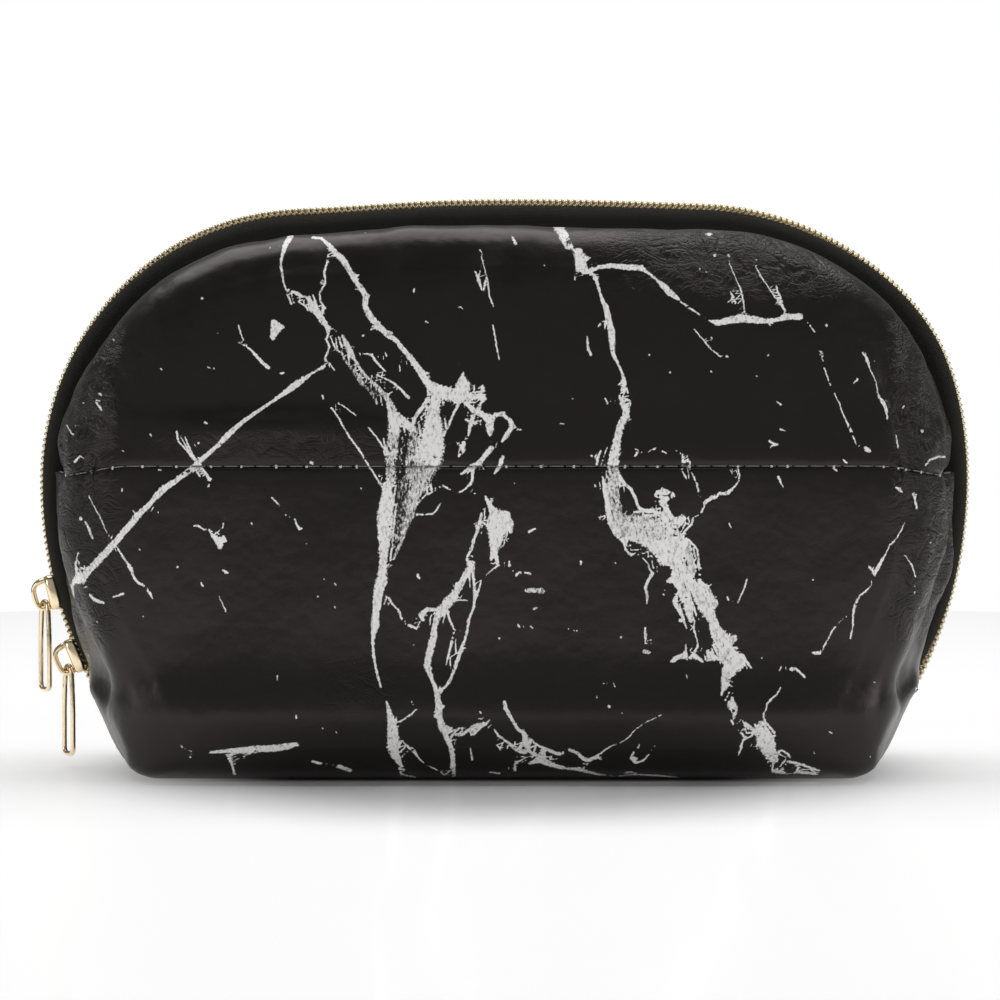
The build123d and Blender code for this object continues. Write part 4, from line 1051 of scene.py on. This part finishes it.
# ---------------------------------------------------------------- leather panels and lining
EDGE_TURN = ((9.0, 6.75), (8.75, 7.3), (9.1, 7.9), (10.2, 8.5), (12.5, 9.6))   # depth, inset
CORNER_RUN = ((8.2, 5.9), (6.4, 4.9), (4.4, 3.7), (2.2, 2.7), (0.0, 2.2))


def edge_rows(upper, under=0.0):
    """Rows that carry on from the tape's edge: turned in under itself beside the zip, and run
    on to the mid-plane over the boxed corners and the base."""
    rows = []
    for (turn_depth, turn_inset), (run_depth, run_inset) in zip(EDGE_TURN, CORNER_RUN):
        if upper:
            outline = turned_outline(True, turn_inset + under, 0, turn_depth, True)
            rows.append(place(outline, turn_depth, 0))
            continue
        outline = turned_outline(False, turn_inset + under, under, turn_depth, True)
        turned = place(outline, turn_depth, 0)
        run_on = place(lower_curve(run_inset + under, under), run_depth, 0)
        share = smooth_step(ZIP_END_Z + 5.0 - turned[:, 2], 0, 4.0)[:, None]
        rows.append(turned * (1 - share) + run_on * share)
    return np.stack(rows[::-1])


def panel_points(upper, under=0.0):
    """Whole front panel, softened, as rows x columns x 3, and its first row on the wall."""
    wall = panel_grid(upper, under)
    edge = edge_rows(upper, under)
    grid = np.concatenate([edge, wall])
    shape = grid.shape
    return soften(grid.reshape(-1, 3), upper).reshape(shape), len(edge)


def seam_pinch(grid):
    """Draws the leather in along the seam."""
    normals = grid_normals(grid)
    outward = np.sign((normals * (grid - (0, 0, 70))).sum(-1, keepdims=True))
    normals = normals * outward
    seam = SEAM_Z - 2.6 * smooth_step(np.abs(grid[..., 0]), 96, 118)
    off = grid[..., 2] - seam
    depth = SEAM_VALLEY * np.exp(-np.abs(off) / 0.9) + 0.35 * hump(off, 0, 4.5)
    depth = depth * smooth_step(-grid[..., 1], 8.5, 12)
    return (grid - normals * depth[..., None]).reshape(-1, 3)


def build_panel(name, upper, side, seed):
    grid, first = panel_points(upper)
    rows, columns = grid.shape[:2]
    points = seam_pinch(grid)
    points[:, 2] = np.maximum(points[:, 2], 0.0)
    points = slump(points)
    front_view = points.copy()
    if side > 0:
        points[:, 1] *= -1
    flip = (side > 0) != upper
    obj = new_object(name, points, grid_faces(rows, columns, flip=flip), LEATHER)
    store(obj, "rest", points if side < 0 else points + (300, 0, 0))
    store_veins(obj, front_view, seed, side > 0)
    store_creases(obj, front_view)
    thicken(obj, LEATHER_THICK)
    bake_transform(obj)
    return obj, points.reshape(rows, columns, 3), first


def build_lining(name, upper, side):
    grid, _ = panel_points(upper, under=LINING_UNDER)
    points = grid.reshape(-1, 3)
    points[:, 2] = np.maximum(points[:, 2], LINING_FLOOR)
    points = slump(points)
    if side > 0:
        points[:, 1] *= -1
    flip = (side > 0) != upper
    obj = new_object(name, points, grid_faces(*grid.shape[:2], flip=flip), LINING)
    store(obj, "rest", points)
    thicken(obj, LINING_THICK)
    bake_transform(obj)
    return obj


seam_lines = {}
for side in (-1, 1):
    word = SIDE_NAME[side]
    upper_leather, _, _ = build_panel(f"upper_{word}_leather", True, side, 5 + side)
    lower_leather, sewn, first = build_panel(f"lower_{word}_leather", False, side, 5 + side)
    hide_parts(f"upper_{word}_panel")
    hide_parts("lower_panel")
    seam_lines[side] = np.concatenate([sewn[first:, 0], sewn[-1, 1:-1], sewn[first:, -1][::-1]])
    upper_lining = build_lining(f"upper_{word}_lining_cloth", True, side)
    lower_lining = build_lining(f"lower_{word}_lining_cloth", False, side)
    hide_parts(f"upper_{word}_lining")
    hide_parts("lower_lining")


# ---------------------------------------------------------------- zip: tape and coil
def zip_path(step):
    """Points, outward normals and length so far along the zip, from its left end to its right."""
    end = math.asin((WIDEST_Z - ZIP_END_Z) / SIDE_R)
    top = SHOULDER_TOP
    pi = math.pi
    runs = [
        (-SIDE_X, WIDEST_Z, SIDE_R, pi + end, pi),
        (-SHOULDER_X, WIDEST_Z, SHOULDER_R, pi, pi - top),
        (0, TOP_Z, TOP_R, pi - top, top),
        (SHOULDER_X, WIDEST_Z, SHOULDER_R, top, 0),
        (SIDE_X, WIDEST_Z, SIDE_R, 0, -end),
    ]
    lengths = [r * abs(b - a) for _, _, r, a, b in runs]
    total = sum(lengths)
    count = int(round(total / step)) + 1
    along = np.linspace(0, total, count)
    points = np.zeros((count, 2))
    normals = np.zeros((count, 2))
    start = 0.0
    for (cx, cz, r, a, b), length in zip(runs, lengths):
        inside = (along >= start - 1e-6) & (along <= start + length + 1e-6)
        angle = a + (b - a) * (along[inside] - start) / length
        normals[inside] = np.stack([np.cos(angle), np.sin(angle)], -1)
        points[inside] = np.array([cx, cz]) + r * normals[inside]
        start += length
    return points, normals, along


TAPE_PROFILE = (
    (13.0, 11.0), (11.0, 9.8), (9.3, 8.5), (8.0, 7.2), (6.8, 5.9), (5.7, 4.75),
    (4.7, 3.75), (3.9, 3.0), (3.3, 2.55), (2.7, 2.4), (1.6, 2.35), (0.5, 2.3),
)


def build_tape(side):
    path, normal, along = zip_path(1.1)
    rows = []
    strip = []
    across = 0.0
    last = TAPE_PROFILE[0]
    for depth, inset in TAPE_PROFILE:
        across += math.hypot(depth - last[0], inset - last[1])
        last = (depth, inset)
        at_side = smooth_step(np.abs(normal[:, 0]), 0.35, 0.9) * (1 - smooth_step(inset, 2.5, 7.0))
        at_side = at_side * smooth_step(path[:, 1], 22, 50)
        tucked = 2.6 * (1 - smooth_step(np.minimum(along, along[-1] - along), 1.0, 12.0))
        flat = path - normal * (inset - 1.05 * at_side + tucked)[:, None]
        rows.append(np.stack([flat[:, 0], np.full(len(path), side * depth), flat[:, 1]], -1))
        strip.append(np.stack([along, np.full(len(path), across), np.zeros(len(path))], -1))
    grid = np.stack(rows)
    points = grid.reshape(-1, 3)
    lift = 0.28 * waves(points, 24, 21, 3) * hump(np.abs(points[:, 1]), 6.5, 3.0)
    points = points + lift[:, None] * np.tile(
        np.stack([normal[:, 0], np.zeros(len(normal)), normal[:, 1]], -1), (len(TAPE_PROFILE), 1)
    )
    points = slump(points)
    faces = grid_faces(*grid.shape[:2], flip=side < 0)
    obj = new_object(f"{SIDE_NAME[side]}_zip_tape", points, faces, TAPE)
    store(obj, "strip", np.stack(strip).reshape(-1, 3))
    thicken(obj, TAPE_THICK)
    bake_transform(obj)
    word = SIDE_NAME[side]
    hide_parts(f"{word}_zip_tape_lower", f"{word}_zip_tape_upper")
    return obj


COIL_PITCH = 1.65
COIL_MIDDLE = 1.55      # depth of each row's middle
COIL_REACH = 1.3
COIL_SUNK = 1.2         # inset of its middle
COIL_RISE = 0.82
COIL_WIRE = 0.40
COIL_TURN_POINTS = 14
COIL_START = 3.6        # first turn, clear of the end stop
WIRE_SIDES = 6


def build_coil(side):
    path, normal, along = zip_path(0.4)
    total = along[-1] - 2 * COIL_START
    turns = int(total / COIL_PITCH)
    count = turns * COIL_TURN_POINTS + 1
    turn = np.arange(count) * 2 * math.pi / COIL_TURN_POINTS
    shift = 0.0 if side < 0 else COIL_PITCH / 2
    s = COIL_START + COIL_PITCH * turn / (2 * math.pi) + shift
    # flattened turns: the wire lies over and under, with short ends
    px = np.interp(s, along, path[:, 0])
    pz = np.interp(s, along, path[:, 1])
    nx = np.interp(s, along, normal[:, 0])
    nz = np.interp(s, along, normal[:, 1])
    reach = np.sign(np.cos(turn)) * np.abs(np.cos(turn)) ** 0.7
    rise = np.sign(np.sin(turn)) * np.abs(np.sin(turn)) ** 0.8
    inset = COIL_SUNK - COIL_RISE * rise
    depth = side * (COIL_MIDDLE + COIL_REACH * reach)
    centre = np.stack([px - nx * inset, depth, pz - nz * inset], -1)
    tangent = np.gradient(centre, axis=0)
    tangent /= np.linalg.norm(tangent, axis=1, keepdims=True)
    axis = np.stack([-nz, np.zeros(count), nx], -1)
    across = np.cross(tangent, axis)
    across /= np.linalg.norm(across, axis=1, keepdims=True)
    other = np.cross(tangent, across)
    ring = []
    for k in range(WIRE_SIDES):
        a = 2 * math.pi * k / WIRE_SIDES
        ring.append(centre + COIL_WIRE * (math.cos(a) * across + math.sin(a) * other))
    grid = np.stack(ring, 1)
    faces = [list(f) for f in grid_faces(count, WIRE_SIDES, wrap_columns=True)]
    faces.append(list(range(WIRE_SIDES)))
    faces.append([(count - 1) * WIRE_SIDES + k for k in reversed(range(WIRE_SIDES))])
    points = slump(grid.reshape(-1, 3))
    obj = new_object(f"{SIDE_NAME[side]}_zip_coil", points, faces, COIL)
    store(obj, "rest", points)
    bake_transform(obj)
    word = SIDE_NAME[side]
    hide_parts(f"{word}_zip_coil_lower", f"{word}_zip_coil_upper")
    return obj


for side in (-1, 1):
    build_tape(side)
    build_coil(side)


# ---------------------------------------------------------------- tubes and small metal parts
def tube(path, radius, up, sides=10, closed=False, flat=(1.0, 1.0)):
    """Points and faces of a rounded bar along a path. flat squeezes its section."""
    path = np.asarray(path, float)
    count = len(path)
    if closed:
        tangent = np.roll(path, -1, 0) - np.roll(path, 1, 0)
    else:
        tangent = np.gradient(path, axis=0)
    tangent /= np.linalg.norm(tangent, axis=1, keepdims=True)
    up = np.asarray(up, float)
    first = np.cross(tangent, up)
    first /= np.linalg.norm(first, axis=1, keepdims=True)
    second = np.cross(first, tangent)
    rows = []
    radii = np.broadcast_to(radius, count)
    for k in range(sides):
        a = 2 * math.pi * k / sides
        spoke = flat[0] * math.cos(a) * first + flat[1] * math.sin(a) * second
        rows.append(path + radii[:, None] * spoke)
    points = np.stack(rows, 1).reshape(-1, 3)
    if not closed:
        return points, capped_faces(count, sides)
    faces = [list(f) for f in grid_faces(count, sides, wrap_rows=True, wrap_columns=True)]
    return points, faces


def loft(rows, flip=False):
    """Points and faces of a solid through sections (along the zip, across, outwards)."""
    grid = np.array(rows)
    return grid.reshape(-1, 3), capped_faces(*grid.shape[:2], flip=flip)


def join(parts):
    """Several (points, faces) as one."""
    points, faces, offset = [], [], 0
    for p, f in parts:
        points.append(p)
        faces += [[i + offset for i in face] for face in f]
        offset += len(p)
    return np.concatenate(points), faces


def rounded(corners, radius, closed=False, steps=6):
    """Corner points with each corner rounded off by an arc-like curve."""
    corners = [np.asarray(c, float) for c in corners]
    out = []
    count = len(corners)
    for i, corner in enumerate(corners):
        if not closed and i in (0, count - 1):
            out.append(corner)
            continue
        before = corners[i - 1] - corner
        after = corners[(i + 1) % count] - corner
        a = corner + before / np.linalg.norm(before) * min(radius, np.linalg.norm(before) / 2)
        b = corner + after / np.linalg.norm(after) * min(radius, np.linalg.norm(after) / 2)
        for k in range(steps + 1):
            t = k / steps
            out.append((1 - t) ** 2 * a + 2 * t * (1 - t) * corner + t**2 * b)
    return np.array(out)


SLIDER_ANGLE = {"upper": 14.48, "lower": 23.2}      # degrees below the widest height
END_STOP_ANGLE = 28.2
PULL_WIRE = 0.68
PIVOT_ALONG = -2.2
PIVOT_OUT = 3.4
PULL_TURN = 32.0        # the loops hang a little turned


def zip_frame(angle):
    """Origin, direction up the zip and direction outwards, on the left-hand run."""
    turn = math.radians(angle)
    origin = np.array([-SIDE_X - SIDE_R * math.cos(turn), 0, WIDEST_Z - SIDE_R * math.sin(turn)])
    up = np.array([-math.sin(turn), 0, math.cos(turn)])
    out = np.array([-math.cos(turn), 0, -math.sin(turn)])
    return origin, up, out


def to_world(points, angle):
    """Slider points (along the zip, across, outwards) in the row frame."""
    origin, up, out = zip_frame(angle)
    p = np.asarray(points, float)
    return origin + p[:, :1] * up + p[:, 1:2] * np.array([0, 1, 0]) + p[:, 2:] * out


SLIDER_HALF = 4.75


def slider_shell():
    """Outer plate with its side flanges, as one C-shaped shell along the zip."""
    rows = []
    for t in np.linspace(-1, 1, 25):
        along = SLIDER_HALF * math.sin(t * math.pi / 2)
        width = 4.1 * (1 - 0.42 * abs(t) ** 2.6) - 0.25 * max(t, 0)
        drop = 1.35 * (1 - 0.75 * abs(t) ** 3)
        crown = 2.0 - 0.45 * abs(t) ** 3
        wall = 0.6
        outer = [(1, -drop), (1, 0.3), (0.97, crown - 0.75), (0.8, crown - 0.2), (0.45, crown)]
        outer = [(width * k, n) for k, n in outer]
        inner = [(width - wall, -drop), (width - wall, 0.2), (width - wall - 0.2, 0.45)]
        section = [(-y, n) for y, n in outer] + [(0, crown + 0.06)] + outer[::-1]
        section += inner + [(0, 0.5)] + [(-y, n) for y, n in inner[::-1]]
        rows.append([(along, y, n) for y, n in section])
    return loft(rows)


def slider_inner_plate():
    rows = []
    for t in np.linspace(-1, 1, 15):
        along = SLIDER_HALF * math.sin(t * math.pi / 2)
        width = 2.7 * (1 - 0.35 * abs(t) ** 3)
        section = [(-width, -3.35), (0, -3.3), (width, -3.35)]
        section += [(width, -4.0), (0, -4.25), (-width, -4.0)]
        rows.append([(along, y, n) for y, n in section])
    return loft(rows, flip=True)


def slider_bridge():
    path = [(0, 0, -3.4), (0, 0, -1.5), (0, 0, 0.6)]
    return tube(path, 1.0, sides=10, flat=(1.1, 0.3), up=(0, 1, 0))


def bail():
    arch = rounded([(-3.5, 0, 1.4), (-3.9, 0, 5.6), (3.1, 0, 5.8), (3.9, 0, 1.4)], 3.0, steps=8)
    count = len(arch)
    size = np.interp(np.arange(count), [0, 4, count - 5, count - 1], [1.2, 1.0, 1.0, 1.3])
    return tube(arch, size, sides=12, flat=(0.72, 1.15), up=(0, 1, 0))


def pull(angle):
    """Long wire loop that hangs from the bail, with a wedge-shaped neck."""
    origin, up, out = zip_frame(angle)
    pivot = origin + PIVOT_ALONG * up + PIVOT_OUT * out
    loop = rounded(
        [
            (-1.7, 0.3), (1.7, 0.3), (2.3, -5.0), (2.7, -11.0), (2.7, -23.4), (-2.7, -23.4),
            (-2.7, -11.0), (-2.3, -5.0),
        ],
        1.9,
        closed=True,
        steps=7,
    )
    turn = math.radians(PULL_TURN)
    face = np.array([math.cos(turn), math.sin(turn), 0])
    across = np.array([-math.sin(turn), math.cos(turn), 0])
    path = pivot + loop[:, :1] * across + loop[:, 1:] * np.array([0, 0, 1])
    return tube(path, PULL_WIRE, sides=12, closed=True, up=face)


def metal_piece(name, parts, body, nodes, levels=1):
    points, faces = join(parts)
    obj = new_object(name, points, faces, GOLD)
    mesh = bmesh.new()
    mesh.from_mesh(obj.data)
    bmesh.ops.recalc_face_normals(mesh, faces=mesh.faces)
    mesh.to_mesh(obj.data)
    mesh.free()
    if levels:
        round_off = obj.modifiers.new("round", "SUBSURF")
        round_off.levels = levels
        round_off.render_levels = levels
        apply_modifiers(obj)
    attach(obj, body)
    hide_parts(*nodes)


for place_word, angle in SLIDER_ANGLE.items():
    parts = (slider_shell(), slider_inner_plate(), slider_bridge(), bail())
    *casting, arch = ((to_world(p, angle), f) for p, f in parts)
    name = f"{place_word}_slider"
    metal_piece(f"{name}_casting", casting, name, [f"{name}_body"])
    metal_piece(f"{name}_arch", [arch], name, [f"{name}_bail"])
    loop = f"{place_word}_loop"
    metal_piece(f"{loop}_pull", [pull(angle)], loop, [f"{place_word}_pull"], levels=0)


def end_stop(mirrored):
    """Small staple folded over both rows at the zip's end."""
    rows = []
    for t in np.linspace(-1, 1, 7):
        along = 0.9 * t
        swell = 1 - 0.25 * t * t
        section = [
            (-3.2, -2.5), (-3.3 * swell, -1.2), (-2.6 * swell, 0.25 * swell), (0, 0.55 * swell),
            (2.6 * swell, 0.25 * swell), (3.3 * swell, -1.2), (3.2, -2.5), (0, -2.3),
        ]
        rows.append([(along, y, n) for y, n in section])
    points, faces = loft(rows)
    points = to_world(points, END_STOP_ANGLE)
    if mirrored:
        points[:, 0] *= -1
        faces = [f[::-1] for f in faces]
    return points, faces


metal_piece("zip_end_staples", [end_stop(False), end_stop(True)], ROOT, ["zip_end_stops"])


# ---------------------------------------------------------------- seam thread and needle flecks
def along_line(line, where):
    """Points and directions at distances along a line of points."""
    step = np.linalg.norm(np.diff(line, axis=0), axis=1)
    far = np.concatenate([[0], np.cumsum(step)])
    at = np.stack([np.interp(where, far, line[:, k]) for k in range(3)], -1)
    ahead = np.stack([np.interp(where + 0.5, far, line[:, k]) for k in range(3)], -1)
    return at, ahead - at, far[-1]


def capsule(middle, direction, half, radius):
    direction = direction / max(np.linalg.norm(direction), 1e-9)
    ends = [(-1.0, 0.25), (-0.85, 0.8), (-0.4, 1.0), (0.4, 1.0), (0.85, 0.8), (1.0, 0.25)]
    path = [middle + direction * half * t for t, _ in ends]
    return tube(path, np.array([r for _, r in ends]) * radius, sides=8, up=(0, 0, 1))


STITCH_PITCH = 4.2
STITCH_HALF = 1.9
STITCH_R = 0.19
SEAM_CLEAR = 5.0        # no stitches nearer the tape than this
FLECK_CLEAR = 9.0

for side in (-1, 1):
    line = seam_lines[side]
    _, _, total = along_line(line, np.array([0.0]))
    rng = random.Random(17 + side)
    where = np.arange(SEAM_CLEAR, total - SEAM_CLEAR, STITCH_PITCH)
    at, ahead, _ = along_line(line, where)
    points, faces = join(
        capsule(p + (0, side * 0.2, 0), d, STITCH_HALF, STITCH_R) for p, d in zip(at, ahead)
    )
    thread = new_object(f"{SIDE_NAME[side]}_seam_stitches", points, faces, THREAD)
    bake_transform(thread)
    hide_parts(f"{SIDE_NAME[side]}_seam_thread")
    where = []
    s = FLECK_CLEAR
    while s < total - FLECK_CLEAR:
        where.append(s)
        s += rng.choice((4.2, 8.4, 8.4, 12.6)) + rng.uniform(-0.6, 0.6)
    flecks = []
    for p in along_line(line, np.array(where))[0]:
        direction = np.array([rng.uniform(-0.3, 0.3), 0, 1.0])
        half, radius = rng.uniform(0.3, 0.55), rng.uniform(0.26, 0.42)
        flecks.append(capsule(p + (0, side * 0.35, -0.1), direction, half, radius))
    points, faces = join(flecks)
    fleck = new_object(f"{SIDE_NAME[side]}_seam_flecks", points, faces, HOLE)
    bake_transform(fleck)

board = Nodes("board")
board_at = board.add("ShaderNodeTexCoord").outputs["Object"]
board_tone = board.noise(board.scaled(board_at, (40, 400, 40)), 1.0, 4)
board_color = board.mix(board_tone, (0.10, 0.085, 0.06, 1), (0.2, 0.17, 0.13, 1))
board_rough = board.ramp(board_tone, 0, 1, 0.8, 0.95)
board.finish(color=board_color, rough=board_rough, normal=board.bump(board_tone, 0.0002))
base_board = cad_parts["base_board"]
base_board.data.materials.clear()
base_board.data.materials.append(board.material)


# ---------------------------------------------------------------- floor, light and camera
def floor_material():
    """White table top with painted light: it glows more and more away from the case and not at all
    near it, so the floor round the case stays darker than the rest.
    """
    n = Nodes("floor_white_glow")
    place_at = n.add("ShaderNodeTexCoord").outputs["Object"]
    away = n.vector("LENGTH", n.scaled(place_at, (1.25, 1.0, 1.0)))
    # painted light: emission rises with distance from the case, which leaves a darker patch round
    # it
    n.link(n.ramp(away, 0.075, 0.155, 0.0, 0.45), n.shader.inputs["Emission Strength"])
    n.shader.inputs["Coat Weight"].default_value = 0.2
    n.shader.inputs["Coat Roughness"].default_value = 0.12
    n.shader.inputs["Emission Color"].default_value = (1, 1, 1, 1)
    return n.finish(color=(0.84, 0.84, 0.84, 1), rough=0.5)


ROOM_FRONT = 0.42       # in front, up to about the leather's height; nothing higher up
ROOM_BEHIND = 0.22
ROOM_ABOVE = 0.12
FLOOR_R = 680.0         # a round white table, so that its far part doesn't light the leather
FLOOR_SIDES = 96
turns = [2 * math.pi * k / FLOOR_SIDES for k in range(FLOOR_SIDES)]
rim = [(FLOOR_R * math.cos(a), FLOOR_R * math.sin(a), 0) for a in turns]
floor = new_object("floor", rim, [range(FLOOR_SIDES)], floor_material(), smooth=False)

# The room: bright behind and above, dim in front, so that black leather stays black
world = bpy.data.worlds.new("studio")
bpy.context.scene.world = world
world.use_nodes = True
sky = world.node_tree
sky.nodes.clear()
way = sky.nodes.new("ShaderNodeTexCoord")
split = sky.nodes.new("ShaderNodeSeparateXYZ")
sky.links.new(way.outputs["Generated"], split.inputs[0])


def sky_ramp(value, low, high, low_out, high_out):
    node = sky.nodes.new("ShaderNodeMapRange")
    node.interpolation_type = "SMOOTHSTEP"
    sky.links.new(value, node.inputs["Value"])
    for key, number in zip(RANGE_KEYS, (low, high, low_out, high_out)):
        node.inputs[key].default_value = number
    return node.outputs["Result"]


def sky_math(a, b, operation="ADD"):
    node = sky.nodes.new("ShaderNodeMath")
    node.operation = operation
    sky.links.new(a, node.inputs[0])
    sky.links.new(b, node.inputs[1])
    return node.outputs[0]


behind = sky_ramp(split.outputs[1], -0.55, 0.35, 0.0, ROOM_BEHIND)
above = sky_ramp(split.outputs[2], 0.1, 0.9, 0.0, ROOM_ABOVE)
height = sky_ramp(split.outputs[2], 0.46, 0.80, ROOM_FRONT, 0.01)
ahead = sky_ramp(split.outputs[1], -0.75, -0.1, 1.0, 0.0)
front = sky_math(height, ahead, "MULTIPLY")
room = sky.nodes.new("ShaderNodeBackground")
sky.links.new(sky_math(sky_math(behind, above), front), room.inputs["Strength"])
white = sky.nodes.new("ShaderNodeBackground")
white.inputs["Color"].default_value = (1, 1, 1, 1)
seen = sky.nodes.new("ShaderNodeLightPath")
choose = sky.nodes.new("ShaderNodeMixShader")
sky.links.new(seen.outputs["Is Camera Ray"], choose.inputs[0])
sky.links.new(room.outputs[0], choose.inputs[1])
sky.links.new(white.outputs[0], choose.inputs[2])
sky_out = sky.nodes.new("ShaderNodeOutputWorld")
sky.links.new(choose.outputs[0], sky_out.inputs[0])


def soft_light(name, at, aim, size, power):
    data = bpy.data.lights.new(name, "AREA")
    data.shape = "RECTANGLE"
    data.size, data.size_y = size
    data.energy = power
    obj = bpy.data.objects.new(name, data)
    obj.location = at
    obj.rotation_euler = (Vector(aim) - Vector(at)).to_track_quat("-Z", "Y").to_euler()
    bpy.context.scene.collection.objects.link(obj)


soft_light("top_light", (0.0, 0.25, 1.2), (0, 0, 0.05), (1.6, 1.0), 13)
soft_light("left_light", (-1.5, -0.8, 0.42), (0, 0, 0.08), (0.5, 0.7), 3.6)
soft_light("right_light", (1.5, -0.8, 0.42), (0, 0, 0.08), (0.5, 0.7), 4.8)

CAMERA_AWAY = 1.0
SEEN_WIDTH = 0.27       # metres across the picture at the case
CAMERA_RISE = math.radians(2.0)
AIM = Vector((-0.0012, 0, 0.0722))
camera = bpy.data.cameras.new("camera")
camera.sensor_width = 36
camera.lens = 36 / SEEN_WIDTH * CAMERA_AWAY
camera_object = bpy.data.objects.new("camera", camera)
towards = Vector((0, -math.cos(CAMERA_RISE), math.sin(CAMERA_RISE)))
camera_object.location = AIM + towards * CAMERA_AWAY
camera_object.rotation_euler = (math.pi / 2 - CAMERA_RISE, 0, 0)
camera.clip_start = 0.01
bpy.context.scene.collection.objects.link(camera_object)
bpy.context.scene.camera = camera_object
bpy.context.scene.view_settings.view_transform = "Standard"
bpy.context.scene.view_settings.look = "None"
